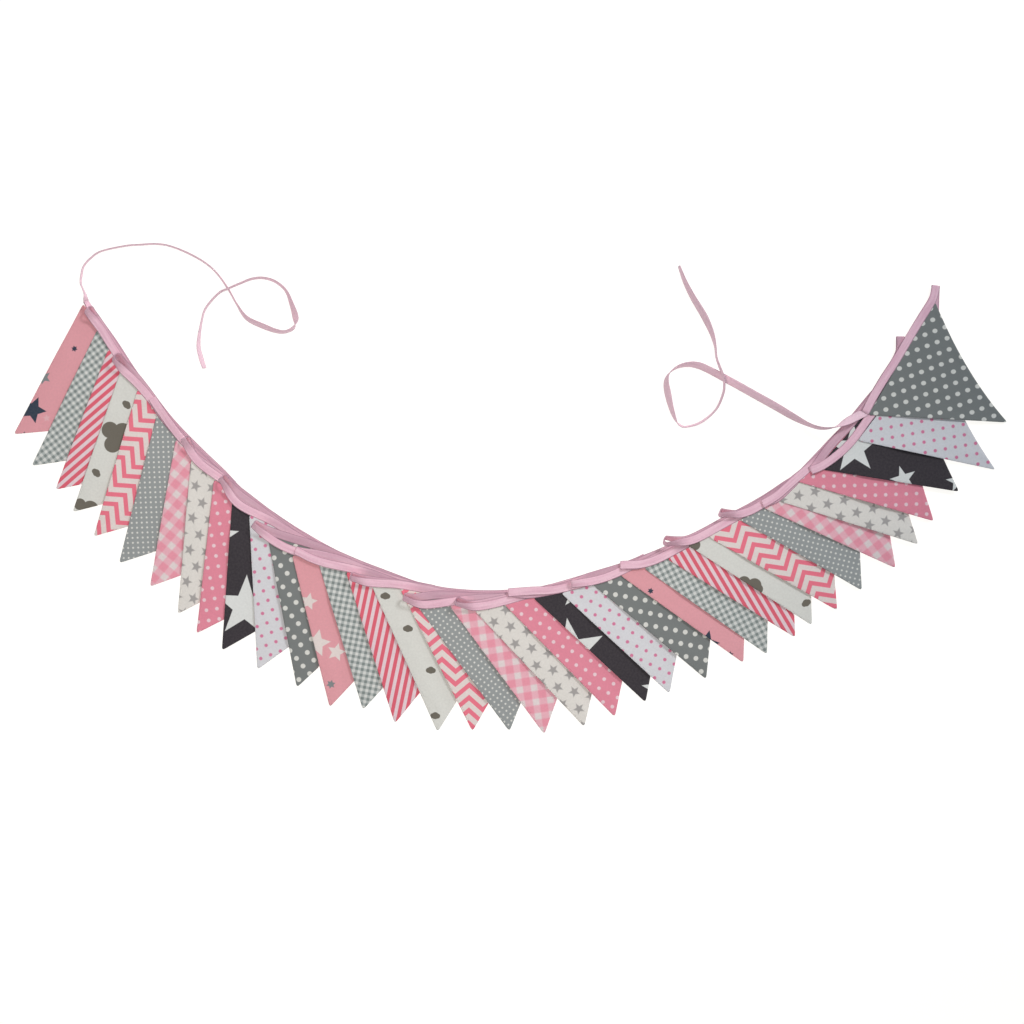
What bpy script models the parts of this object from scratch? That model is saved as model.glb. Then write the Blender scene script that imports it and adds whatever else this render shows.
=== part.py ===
"""Fabric bunting: 36 pennants on one folded binding, laid down in a zigzag arc, with a tie at each end."""

import math
from collections import namedtuple

import bmesh
import bpy
from mathutils import Vector

# Driving dimensions, in metres and degrees
CLOTH = 0.0010
LAYER = 0.0014
TAPE_WIDTH = 0.0095
SEAM_GAP = 0.0003
APEX = 56.0
PITCH = 0.031
BAND_RADIUS = 0.4866
TIP_RADIUS = 0.6249

# One pixel of the photograph on the surface, the pixel over the origin, and the one at the arc's centre
PIXEL = 0.00113
ORIGIN_PX = (510.66, 509.74)
ARC_PX = (501.5, 170.7)

# The line on which a layer reaches the surface: its angle for flag 0 and the step from flag to flag,
# at the binding and at the tips, and how far it is held back so that every tip clears the surface
BAND_LINE = -49.6
BAND_STEP = 3.658
TIP_LINE = -64.6
TIP_STEP = 3.556
HOLD_BACK = 0.9
TOE = 1.0

# How finely the sheets are divided
FLAG_CUTS = 5
CHORD_STEPS = 6
ARM_STEPS = 5
TURN_STEPS = 4
ROUTE_STEPS = 3

# Each flag in pixels and degrees: its tip, the lean of its left edge from straight down, and the
# length of that edge that shows below the tape that lies over its corner
Flag = namedtuple("Flag", "tip_x tip_y lean shown")
FLAGS = (
    Flag(14.0, 434.3, -28.8, 150.4),
    Flag(32.3, 465.9, -25.6, 151.7),
    Flag(56.1, 489.7, -20.8, 148.4),
    Flag(73.4, 512.0, -18.7, 147.2),
    Flag(94.1, 536.5, -16.8, 146.8),
    Flag(119.7, 563.1, -14.8, 152.7),
    Flag(150.5, 586.6, -11.7, 143.6),
    Flag(178.2, 613.8, -5.2, 153.1),
    Flag(196.8, 633.5, -6.8, 145.4),
    Flag(222.2, 650.4, -4.3, 147.4),
    Flag(257.6, 669.5, 2.7, 152.9),
    Flag(297.1, 687.3, 10.7, 146.3),
    Flag(329.8, 707.2, 13.6, 157.0),
    Flag(363.1, 709.7, 16.6, 150.6),
    Flag(394.9, 723.3, 17.7, 157.9),
    Flag(437.6, 731.7, 24.1, 159.5),
    Flag(472.5, 731.3, 26.8, 153.4),
    Flag(509.4, 731.3, 36.1, 151.9),
    Flag(544.3, 734.3, 36.3, 153.9),
    Flag(584.1, 726.8, 43.2, 159.9),
    Flag(614.7, 716.9, 44.4, 153.9),
    Flag(645.4, 702.3, 46.3, 156.0),
    Flag(669.2, 693.5, 45.3, 151.3),
    Flag(705.9, 679.2, 50.0, 147.4),
    Flag(743.1, 662.8, 54.6, 150.7),
    Flag(766.9, 654.4, 55.1, 151.4),
    Flag(794.8, 637.4, 58.6, 148.6),
    Flag(811.5, 625.2, 57.1, 145.8),
    Flag(836.8, 610.5, 60.4, 149.0),
    Flag(861.5, 590.5, 58.9, 140.7),
    Flag(895.1, 568.2, 65.4, 146.3),
    Flag(917.6, 544.5, 72.8, 147.4),
    Flag(933.3, 521.3, 73.5, 138.4),
    Flag(958.4, 491.8, 80.9, 136.1),
    Flag(995.5, 470.0, 78.2, 142.9),
    Flag(1007.3, 422.6, 87.1, 141.0),
)

# Length of the slanting edges, in metres, at some flags and even between them
Leg = namedtuple("Leg", "flag length")
LEGS = (
    Leg(1, 0.170),
    Leg(6, 0.175),
    Leg(12, 0.176),
    Leg(16, 0.182),
    Leg(20, 0.181),
    Leg(24, 0.172),
    Leg(30, 0.168),
    Leg(36, 0.1593),
)

# The inner edge of the heap of tape, as distances from the arc's centre at some angles and even
# between them, and how far some runs lie back from it
HeapEdge = namedtuple("HeapEdge", "angle radius")
HEAP_EDGE = (
    HeapEdge(-73.0, 0.4865),
    HeapEdge(-66.0, 0.4740),
    HeapEdge(-57.0, 0.4650),
    HeapEdge(-43.0, 0.4607),
    HeapEdge(-32.0, 0.4642),
    HeapEdge(-17.0, 0.4697),
    HeapEdge(-6.0, 0.4765),
    HeapEdge(1.0, 0.4741),
    HeapEdge(11.0, 0.4666),
    HeapEdge(21.0, 0.4613),
    HeapEdge(32.0, 0.4633),
    HeapEdge(42.0, 0.4729),
    HeapEdge(51.0, 0.4780),
    HeapEdge(60.0, 0.4831),
    HeapEdge(67.0, 0.4799),
)
STAGGER = 0.0012
STAGGERED_RUNS = 4

# Flags that are narrower at the tip, by their angle there, and how far some right edges bow in
NARROW_TIPS = {35: 51.0}
BOWS = {35: 0.006, 36: 0.008}

# Each fold at the left of the zigzag: the pixel of its end, how far its two arms stand apart in
# metres, how steeply the tape stands on edge there, and the length over which it lies down again
LeftFold = namedtuple("LeftFold", "x y opening stand reach")
LEFT_FOLDS = (
    LeftFold(88.0, 309.0, 0.0075, 62.0, 0.034),
    LeftFold(114.5, 357.0, 0.0090, 60.0, 0.028),
    LeftFold(153.5, 398.5, LAYER, 0.0, 0.020),
    LeftFold(185.0, 439.5, 0.0055, 50.0, 0.030),
    LeftFold(222.0, 479.0, 0.0065, 55.0, 0.028),
    LeftFold(254.5, 524.5, 0.0050, 45.0, 0.022),
    LeftFold(297.0, 550.0, LAYER, 0.0, 0.020),
    LeftFold(351.0, 577.0, 0.0050, 50.0, 0.024),
    LeftFold(404.0, 597.5, 0.0045, 50.0, 0.030),
    LeftFold(455.0, 603.0, 0.0070, 60.0, 0.028),
    LeftFold(508.6, 592.0, LAYER, 0.0, 0.020),
    LeftFold(571.0, 583.5, 0.0030, 25.0, 0.020),
    LeftFold(620.0, 565.0, LAYER, 0.0, 0.020),
    LeftFold(664.0, 545.0, 0.0085, 62.0, 0.028),
    LeftFold(719.5, 516.0, 0.0060, 55.0, 0.030),
    LeftFold(761.5, 504.0, LAYER, 0.0, 0.020),
    LeftFold(810.0, 470.5, LAYER, 0.0, 0.020),
)

# How far each fold at the right runs past its second flag, and how far it bends inwards
RightFold = namedtuple("RightFold", "past bend")
HIDDEN_RIGHT_FOLD = RightFold(PITCH, 8.0)
SHOWN_RIGHT_FOLDS = {17: RightFold(0.0252, 44.0), 18: RightFold(0.0155, 28.0)}

# Each tie as points along it: pixel, height over the surface in metres (or, as a fraction, over the
# heap that it leaves), and the angle at which the tape stands, past 90 where it leans the other way
TieRow = namedtuple("TieRow", "x y heap lift stand")
TIE_LEFT = (
    TieRow(87.0, 294.8, 0, 0, 35),
    TieRow(84.3, 290.0, 0, 0, 62),
    TieRow(81.6, 283.6, 0, 0, 74),
    TieRow(82.3, 275.5, 0, 0, 77),
    TieRow(84.5, 266.8, 0, 0, 78),
    TieRow(91.1, 259.0, 0, 0, 78),
    TieRow(101.9, 251.7, 0, 0, 78),
    TieRow(125.8, 246.4, 0, 0, 77),
    TieRow(141.0, 245.2, 0, 0, 77),
    TieRow(156.1, 244.4, 0, 0, 77),
    TieRow(170.2, 246.4, 0, 0, 77),
    TieRow(188.7, 253.6, 0, 0, 77),
    TieRow(206.0, 263.4, 0, 0, 77),
    TieRow(217.9, 274.2, 0, 0, 76),
    TieRow(228.8, 289.4, 0, 0, 74),
    TieRow(237.4, 304.6, 0, 0, 67),
    TieRow(247.2, 318.2, 0, 0, 58),
    TieRow(263.5, 326.3, 0, 0, 42),
    TieRow(277.6, 331.4, 0, 0, 50),
    TieRow(286.6, 331.8, 0, 0, 66),
    TieRow(294.4, 327.3, 0, 0, 90),
    TieRow(296.2, 318.7, 0, 0, 122),
    TieRow(292.4, 305.2, 0, 0, 128),
    TieRow(286.2, 290.8, 0, 0, 118),
    TieRow(275.4, 281.8, 0, 0.001, 113),
    TieRow(263.5, 278.6, 0, 0.003, 112),
    TieRow(252.6, 279.9, 0, 0.006, 104),
    TieRow(242.9, 284.0, 0, 0.009, 84),
    TieRow(229.9, 289.8, 0, 0.0105, 70),
    TieRow(220.1, 294.5, 0, 0.009, 74),
    TieRow(207.1, 308.3, 0, 0.004, 76),
    TieRow(202.3, 321.9, 0, 0.001, 74),
    TieRow(199.0, 344.7, 0, 0, 58),
    TieRow(201.7, 358.8, 0, 0, 52),
    TieRow(204.9, 368.5, 0, 0, 54),
)
TIE_RIGHT = (
    TieRow(858.0, 415.4, 1.0, 0, 8),
    TieRow(846.0, 421.6, 1.0, 0, 32),
    TieRow(834.0, 427.4, 0.85, 0, 84),
    TieRow(821.0, 428.6, 0.45, 0, 112),
    TieRow(808.0, 424.8, 0.15, 0, 118),
    TieRow(792.0, 416.2, 0.0, 0, 138),
    TieRow(774.0, 405.6, 0.0, 0, 155),
    TieRow(757.0, 396.2, 0.0, 0, 158),
    TieRow(741.0, 387.2, 0.0, 0, 158),
    TieRow(723.0, 377.4, 0.0, 0, 155),
    TieRow(710.0, 370.6, 0.0, 0, 146),
    TieRow(699.8, 366.0, 0.0, 0, 136),
    TieRow(689.4, 364.4, 0.0, 0, 122),
    TieRow(678.0, 366.8, 0.0, 0, 108),
    TieRow(669.2, 373.2, 0.0, 0, 88),
    TieRow(666.2, 381.4, 0.0, 0, 64),
    TieRow(667.6, 392.8, 0.0, 0, 46),
    TieRow(671.0, 407.7, 0.0, 0, 58),
    TieRow(674.8, 418.8, 0.0, 0, 74),
    TieRow(678.8, 424.8, 0.0, 0, 80),
    TieRow(685.8, 427.0, 0.0, 0, 82),
    TieRow(700.7, 422.4, 0.0, 0, 76),
    TieRow(715.4, 410.0, 0.0, 0.001, 78),
    TieRow(722.0, 395.6, 0.0, 0.004, 76),
    TieRow(723.4, 386.6, 0.0, 0.0065, 72),
    TieRow(722.4, 376.7, 0.0, 0.0065, 68),
    TieRow(718.8, 366.8, 0.0, 0.004, 76),
    TieRow(716.0, 357.6, 0.0, 0.0015, 78),
    TieRow(715.0, 346.8, 0.0, 0, 68),
    TieRow(711.6, 333.4, 0.0, 0, 52),
    TieRow(704.4, 317.0, 0.0, 0, 34),
    TieRow(692.9, 297.8, 0.0, 0, 44),
    TieRow(684.8, 282.0, 0.0, 0, 62),
    TieRow(678.8, 266.4, 0.0, 0, 80),
)

# The twelve cloths, in the order in which they repeat, by their main colour
Cloth = namedtuple("Cloth", "name colour")
CLOTHS = (
    Cloth("pink_star", (0.80, 0.33, 0.38)),
    Cloth("grey_gingham", (0.52, 0.56, 0.53)),
    Cloth("rose_stripe", (0.78, 0.35, 0.43)),
    Cloth("cloud", (0.76, 0.76, 0.72)),
    Cloth("coral_chevron", (0.84, 0.45, 0.50)),
    Cloth("grey_pin_dot", (0.26, 0.29, 0.31)),
    Cloth("pink_gingham", (0.84, 0.50, 0.60)),
    Cloth("grey_star", (0.76, 0.76, 0.72)),
    Cloth("hot_pink_dot", (0.76, 0.19, 0.31)),
    Cloth("charcoal_star", (0.06, 0.06, 0.07)),
    Cloth("lilac_dot", (0.72, 0.73, 0.80)),
    Cloth("grey_green_dot", (0.18, 0.21, 0.19)),
)
TAPE_COLOUR = (0.78, 0.45, 0.57)
CLOTH_ROUGHNESS = 0.9


def place(x_px, y_px):
    """The point of the plan under a pixel of the photograph."""
    return Vector(((x_px - ORIGIN_PX[0]) * PIXEL, (ORIGIN_PX[1] - y_px) * PIXEL))


ARC_CENTRE = place(*ARC_PX)


def compass(angle):
    """The plan direction at this angle from straight down, positive to the right."""
    return Vector((math.sin(math.radians(angle)), -math.cos(math.radians(angle))))


def between(x, low, high):
    """0 at low, 1 at high and a smooth rise between them."""
    share = min(max((x - low) / (high - low), 0.0), 1.0)
    return share * share * (3 - 2 * share)


def surface_layer(point):
    """The number of the layer that lies on the surface at this plan point, as a smooth field."""
    arm = point - ARC_CENTRE
    angle = math.degrees(math.atan2(arm.x, -arm.y))
    share = (arm.length - BAND_RADIUS) / (TIP_RADIUS - BAND_RADIUS)
    line = BAND_LINE + (TIP_LINE - BAND_LINE) * share
    step = BAND_STEP + (TIP_STEP - BAND_STEP) * share
    over_first = (angle - line) / step - HOLD_BACK - 1.0
    if over_first <= -TOE:
        return 1.0
    if over_first >= TOE:
        return 1.0 + over_first
    return 1.0 + (over_first + TOE) ** 2 / (4 * TOE)


def height(layer, point):
    """Height of the middle of this layer's sheet at a plan point."""
    return CLOTH / 2 + max(0.0, LAYER * (layer - surface_layer(point)))


def read_between(rows, at):
    """The second column of a table at a value of its first one, even between rows."""
    for low, high in zip(rows, rows[1:]):
        if at <= high[0]:
            share = max(at - low[0], 0.0) / (high[0] - low[0])
            return low[1] + (high[1] - low[1]) * share
    return rows[-1][1]


def clear_of_heap_edge(point, number, inset):
    """The plan point, moved out from the arc's centre where the heap of tape would end before it."""
    arm = point - ARC_CENTRE
    angle = math.degrees(math.atan2(arm.x, -arm.y))
    least = read_between(HEAP_EDGE, angle) + STAGGER * (number % STAGGERED_RUNS) + inset
    return ARC_CENTRE + arm * max(1.0, least / arm.length)


def flag_corners(number):
    """Left corner, right corner and tip of a flag in plan."""
    row = FLAGS[number - 1]
    tip = place(row.tip_x, row.tip_y)
    leg = read_between(LEGS, number)
    left = tip - compass(row.lean) * leg
    right = tip - compass(row.lean - NARROW_TIPS.get(number, APEX)) * leg
    return left, right, tip


def inward(direction, point):
    """The normal to a plan direction on the side of the arc's centre."""
    normal = Vector((-direction.y, direction.x)).normalized()
    return normal if normal.dot(ARC_CENTRE - point) > 0 else -normal


def top_edge(number):
    """Points along a flag's top edge, from left to right, which bends where the heap of tape ends."""
    left, right, _ = flag_corners(number)
    shares = [step / CHORD_STEPS for step in range(CHORD_STEPS + 1)]
    inset = TAPE_WIDTH + SEAM_GAP
    return [clear_of_heap_edge(left.lerp(right, share), number, inset) for share in shares]


def tape_chord(number):
    """The tape's middle line along a flag's top edge, and its direction at each end."""
    edge = top_edge(number)
    line = []
    for index, point in enumerate(edge):
        way = edge[min(index + 1, CHORD_STEPS)] - edge[max(index - 1, 0)]
        line.append(point + inward(way, point) * (TAPE_WIDTH / 2 + SEAM_GAP))
    return line, line[1] - line[0], line[-1] - line[-2]


def shown_corner(number):
    """The tape's middle line over the corner that shows of a flag."""
    row = FLAGS[number - 1]
    corner = place(row.tip_x, row.tip_y) - compass(row.lean) * row.shown * PIXEL
    edge = top_edge(number)
    return corner + inward(edge[1] - edge[0], corner) * TAPE_WIDTH / 2


def curve_between(start, start_way, end, end_way, steps):
    """Points from start to end, without the end, on a cubic that leaves and arrives along two directions."""
    reach = (end - start).length
    points = []
    for step in range(steps):
        t = step / steps
        points.append(
            start * (2 * t**3 - 3 * t**2 + 1)
            + start_way.normalized() * reach * (t**3 - 2 * t**2 + t)
            + end * (3 * t**2 - 2 * t**3)
            + end_way.normalized() * reach * (t**3 - t**2)
        )
    return points


def left_fold_end(fold_number, outer):
    """The plan point where the upper (outer) or the lower arm of a left fold meets its turn, and the way in."""
    fold = LEFT_FOLDS[fold_number - 1]
    point = place(fold.x, fold.y)
    way = Vector((-(ARC_CENTRE - point).y, (ARC_CENTRE - point).x)).normalized()
    if way.x < 0:
        way = -way
    if not outer:
        point = point + inward(way, point) * fold.opening * math.sin(math.radians(fold.stand))
    return point + way * fold.opening / 2, way


def right_fold_end(fold_number):
    """The plan point of a fold at the right, and the direction in which the tape reaches it."""
    fold = SHOWN_RIGHT_FOLDS.get(fold_number, HIDDEN_RIGHT_FOLD)
    line, _, chord = tape_chord(2 * fold_number)
    right = line[-1]
    chord = chord.normalized()
    turned = inward(chord, right) * math.sin(math.radians(fold.bend)) + chord * math.cos(math.radians(fold.bend))
    halfway = (chord + turned).normalized()
    return right + halfway * fold.past, turned


def run_plan(number):
    """The tape's middle line along one run of the zigzag, in plan, from left to right."""
    line, left_way, right_way = tape_chord(number)
    fold_number = number // 2
    points = []
    if 1 < number < len(FLAGS):
        outer = number % 2 == 1
        end, way = left_fold_end(fold_number, outer)
        if outer:
            middle = shown_corner(number - 1)
            middle_way = line[0] - end
            points += curve_between(end, way, middle, middle_way, ARM_STEPS)
            points += curve_between(middle, middle_way, line[0], left_way, ARM_STEPS - 1)
        else:
            points += curve_between(end, way, line[0], left_way, ARM_STEPS)
    points += line[:-1]
    fold_end, fold_way = right_fold_end((number + 1) // 2)
    points += curve_between(line[-1], right_way, fold_end, fold_way, ARM_STEPS - 1)
    points.append(fold_end)
    return points


def run_stations(number):
    """The tape's two edges along one run, from left to right, as pairs of points."""
    plan = run_plan(number)
    fold = LEFT_FOLDS[number // 2 - 1] if 1 < number < len(FLAGS) else None
    stations = []
    travelled = 0.0
    for index, point in enumerate(plan):
        way = plan[min(index + 1, len(plan) - 1)] - plan[max(index - 1, 0)]
        if index:
            travelled += (point - plan[index - 1]).length
        across = inward(way, point) * TAPE_WIDTH / 2
        stand = 0.0
        lift = 0.0
        if fold:
            near = 1.0 - between(travelled, 0.0, fold.reach)
            stand = math.radians(fold.stand) * near
            if number % 2:
                lift = (fold.opening * math.cos(math.radians(fold.stand)) - LAYER) * near
        outer = point - across * math.cos(stand)
        inner = point + across * math.cos(stand)
        outer_z = height(number, outer) + lift
        inner_z = height(number, inner) + lift + TAPE_WIDTH * math.sin(stand)
        stations.append((outer.to_3d() + Vector((0, 0, outer_z)), inner.to_3d() + Vector((0, 0, inner_z))))
    return stations


def turn_stations(start, end, way):
    """The tape's edges round a fold: half an ellipse from one arm's end to the other's, past them along way."""
    stations = []
    for step in range(1, TURN_STEPS):
        angle = math.pi * step / TURN_STEPS
        pair = []
        for first, last in zip(start, end):
            centre = (first + last) / 2
            radius = (last - first) / 2
            past = way * radius.length * math.sin(angle)
            pair.append(centre - radius * math.cos(angle) + past)
        stations.append(tuple(pair))
    return stations


def binding_stations():
    """The tape's edges along the whole binding, from the left tie to the right one."""
    path = run_stations(1)
    for number in range(2, len(FLAGS) + 1):
        run = run_stations(number)
        if number % 2 == 0:
            run.reverse()
            way = right_fold_end(number // 2)[1].to_3d()
        else:
            way = -left_fold_end(number // 2, True)[1].to_3d()
        path += turn_stations(path[-1], run[0], way)
        path += run
    return path


def smooth_route(rows):
    """Rows with ROUTE_STEPS for each given one, on a smooth curve through them."""
    route = []
    for index in range(len(rows) - 1):
        before = rows[max(index - 1, 0)]
        start = rows[index]
        end = rows[index + 1]
        after = rows[min(index + 2, len(rows) - 1)]
        for step in range(ROUTE_STEPS):
            t = step / ROUTE_STEPS
            route.append([
                0.5 * (2 * b + (c - a) * t + (2 * a - 5 * b + 4 * c - d) * t**2 + (3 * b - a - 3 * c + d) * t**3)
                for a, b, c, d in zip(before, start, end, after)
            ])
    route.append(list(rows[-1]))
    return route


def tie_stations(rows, flag_number):
    """The edges of a tie that goes on from the binding's end at the left corner of a flag."""
    line, way, _ = tape_chord(flag_number)
    away = -way.normalized()
    root = line[0] + away * SEAM_GAP
    side = Vector((-away.y, away.x)) * TAPE_WIDTH / 2
    first = [root - side, root + side]
    stations = [tuple(edge.to_3d() + Vector((0, 0, height(flag_number, edge))) for edge in first)]
    plan = [root]
    route = smooth_route(rows)
    plan += [place(x_px, y_px) for x_px, y_px, _, _, _ in route]
    for index, (_, _, heap, lift, stand) in enumerate(route, 1):
        point = plan[index]
        way = (plan[min(index + 1, len(plan) - 1)] - plan[index - 1]).normalized()
        across = Vector((-way.y, way.x)) * TAPE_WIDTH / 2 * math.cos(math.radians(stand))
        low = CLOTH / 2 + max(lift, 0.0) + max(heap, 0.0) * (height(flag_number, point) - CLOTH / 2)
        high = low + TAPE_WIDTH * math.sin(math.radians(stand))
        stations.append((
            (point - across).to_3d() + Vector((0, 0, low)),
            (point + across).to_3d() + Vector((0, 0, high)),
        ))
    return stations


def cloth_material(name, colour):
    material = bpy.data.materials.new(name)
    material.use_nodes = True
    shader = material.node_tree.nodes["Principled BSDF"]
    shader.inputs["Base Color"].default_value = (*colour, 1.0)
    shader.inputs["Roughness"].default_value = CLOTH_ROUGHNESS
    return material


def sheet(name, mesh, material, collection):
    """An open surface as a closed sheet of cloth."""
    piece = bpy.data.objects.new(name, mesh)
    collection.objects.link(piece)
    mesh.materials.append(material)
    thickness = piece.modifiers.new("Thickness", "SOLIDIFY")
    thickness.thickness = CLOTH
    thickness.offset = 0.0
    thickness.use_even_offset = True
    return piece


def flag_point(number, right_share, tip_share):
    """The plan point of a flag at its shares of the right corner and of the tip."""
    edge = top_edge(number)
    tip = flag_corners(number)[2]
    along = CHORD_STEPS * right_share / max(1.0 - tip_share, 1e-6)
    index = min(int(along + 1e-6), CHORD_STEPS - 1)
    on_edge = edge[index].lerp(edge[index + 1], along - index)
    point = on_edge.lerp(tip, tip_share)
    return point + (edge[0] - edge[-1]).normalized() * BOWS.get(number, 0.0) * 4 * right_share * tip_share


def flag(number, material, collection):
    """One pennant: a triangle divided evenly, fitted to its top edge and laid on the layers beneath it."""
    surface = bmesh.new()
    corners = [surface.verts.new(corner) for corner in ((0, 0, 0), (1, 0, 0), (0, 1, 0))]
    surface.faces.new(corners)
    bmesh.ops.subdivide_edges(surface, edges=surface.edges[:], cuts=FLAG_CUTS, use_grid_fill=True)
    for vertex in surface.verts:
        point = flag_point(number, vertex.co.x, vertex.co.y)
        vertex.co = (point.x, point.y, height(number, point))
    bmesh.ops.recalc_face_normals(surface, faces=surface.faces[:])
    mesh = bpy.data.meshes.new(f"flag_{number:02d}")
    surface.to_mesh(mesh)
    surface.free()
    return sheet(f"flag_{number:02d}", mesh, material, collection)


def tape(name, stations, material, collection):
    """A strip of tape through pairs of edge points."""
    surface = bmesh.new()
    pairs = [[surface.verts.new(edge) for edge in pair] for pair in stations]
    for (low, high), (next_low, next_high) in zip(pairs, pairs[1:]):
        surface.faces.new((low, next_low, next_high, high))
    mesh = bpy.data.meshes.new(name)
    surface.to_mesh(mesh)
    surface.free()
    return sheet(name, mesh, material, collection)


def main():
    for item in list(bpy.data.objects):
        bpy.data.objects.remove(item)
    collection = bpy.data.collections.new("fabric_bunting")
    bpy.context.scene.collection.children.link(collection)
    cloths = [cloth_material(cloth.name, cloth.colour) for cloth in CLOTHS]
    for number in range(1, len(FLAGS) + 1):
        flag(number, cloths[(number - 1) % len(cloths)], collection)
    tape_material = cloth_material("tape_pink", TAPE_COLOUR)
    tape("binding", binding_stations(), tape_material, collection)
    tape("tie_left", tie_stations(TIE_LEFT, 1), tape_material, collection)
    tape("tie_right", tie_stations(TIE_RIGHT, len(FLAGS)), tape_material, collection)


main()
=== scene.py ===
"""Fabric bunting: the cloth, the printed patterns and the folded tape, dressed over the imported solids."""

import math
from collections import namedtuple

import bmesh
import bpy
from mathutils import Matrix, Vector, noise


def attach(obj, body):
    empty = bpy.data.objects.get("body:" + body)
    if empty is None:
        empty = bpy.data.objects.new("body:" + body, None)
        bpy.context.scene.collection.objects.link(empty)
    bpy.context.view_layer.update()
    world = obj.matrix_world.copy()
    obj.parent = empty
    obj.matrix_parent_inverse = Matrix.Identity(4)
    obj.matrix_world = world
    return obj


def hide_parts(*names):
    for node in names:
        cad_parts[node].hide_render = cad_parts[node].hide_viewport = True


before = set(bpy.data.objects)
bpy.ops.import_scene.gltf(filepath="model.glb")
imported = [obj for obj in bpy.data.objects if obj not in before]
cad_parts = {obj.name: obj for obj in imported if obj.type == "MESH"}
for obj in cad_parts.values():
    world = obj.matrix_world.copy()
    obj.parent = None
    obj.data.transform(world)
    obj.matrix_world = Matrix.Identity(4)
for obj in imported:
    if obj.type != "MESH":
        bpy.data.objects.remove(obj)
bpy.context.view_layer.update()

# The sizes of the solids, in metres and degrees
CLOTH = 0.0010
LAYER = 0.0014
TAPE_WIDTH = 0.0095
SEAM_OVERLAP = 0.0004
APEX = 56.0
PITCH = 0.031
CHORD_STEPS = 6
ARM_STEPS = 5

# The photograph's scale, and the pixels of the frame's origin and of the centre of the flags' arc
PIXEL = 0.00113
ORIGIN_PX = (510.66, 509.74)
ARC_PX = (501.5, 170.7)

# Where the layers start: at two radii round the arc the angle of the first line and the step to the
# next one, how far a layer stays down past its line, and how softly it then starts to rise
BAND_RADIUS = 0.4866
TIP_RADIUS = 0.6249
BAND_LINE = -49.6
BAND_STEP = 3.658
TIP_LINE = -64.6
TIP_STEP = 3.556
HOLD_BACK = 0.9
TOE = 1.0

# Each flag in pixels and degrees: its tip, the lean of its left edge from straight down, and the
# length of that edge that shows below the tape that lies over its corner
Flag = namedtuple("Flag", "tip_x tip_y lean shown")
FLAGS = [Flag(*row) for row in (
    (14.0, 434.3, -28.8, 150.4),
    (32.3, 465.9, -25.6, 151.7),
    (56.1, 489.7, -20.8, 148.4),
    (73.4, 512.0, -18.7, 147.2),
    (94.1, 536.5, -16.8, 146.8),
    (119.7, 563.1, -14.8, 152.7),
    (150.5, 586.6, -11.7, 143.6),
    (178.2, 613.8, -5.2, 153.1),
    (196.8, 633.5, -6.8, 145.4),
    (222.2, 650.4, -4.3, 147.4),
    (257.6, 669.5, 2.7, 152.9),
    (297.1, 687.3, 10.7, 146.3),
    (329.8, 707.2, 13.6, 157.0),
    (363.1, 709.7, 16.6, 150.6),
    (394.9, 723.3, 17.7, 157.9),
    (437.6, 731.7, 24.1, 159.5),
    (472.5, 731.3, 26.8, 153.4),
    (509.4, 731.3, 36.1, 151.9),
    (544.3, 734.3, 36.3, 153.9),
    (584.1, 726.8, 43.2, 159.9),
    (614.7, 716.9, 44.4, 153.9),
    (645.4, 702.3, 46.3, 156.0),
    (669.2, 693.5, 45.3, 151.3),
    (705.9, 679.2, 50.0, 147.4),
    (743.1, 662.8, 54.6, 150.7),
    (766.9, 654.4, 55.1, 151.4),
    (794.8, 637.4, 58.6, 148.6),
    (811.5, 625.2, 57.1, 145.8),
    (836.8, 610.5, 60.4, 149.0),
    (861.5, 590.5, 58.9, 140.7),
    (895.1, 568.2, 65.4, 146.3),
    (917.6, 544.5, 72.8, 147.4),
    (933.3, 521.3, 73.5, 138.4),
    (958.4, 491.8, 80.9, 136.1),
    (995.5, 470.0, 78.2, 142.9),
    (1007.3, 422.6, 87.1, 141.0),
)]

# Length of the slanting edges at some flags, and the inner edge of the heap of tape
Leg = namedtuple("Leg", "flag length")
LEGS = [Leg(*row) for row in (
    (1, 0.170),
    (6, 0.175),
    (12, 0.176),
    (16, 0.182),
    (20, 0.181),
    (24, 0.172),
    (30, 0.168),
    (36, 0.1593),
)]
HeapEdge = namedtuple("HeapEdge", "angle radius")
HEAP_EDGE = [HeapEdge(*row) for row in (
    (-73.0, 0.4865),
    (-66.0, 0.4740),
    (-57.0, 0.4650),
    (-43.0, 0.4607),
    (-32.0, 0.4642),
    (-17.0, 0.4697),
    (-6.0, 0.4765),
    (1.0, 0.4741),
    (11.0, 0.4666),
    (21.0, 0.4613),
    (32.0, 0.4633),
    (42.0, 0.4729),
    (51.0, 0.4780),
    (60.0, 0.4831),
    (67.0, 0.4799),
)]
STAGGER = 0.0012
STAGGERED_RUNS = 4

# The tip's angle of a flag that is narrower, and how far the right edge of a flag bows in
NARROW_TIPS = {35: 51.0}
BOWS = {35: 0.006, 36: 0.008}

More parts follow.
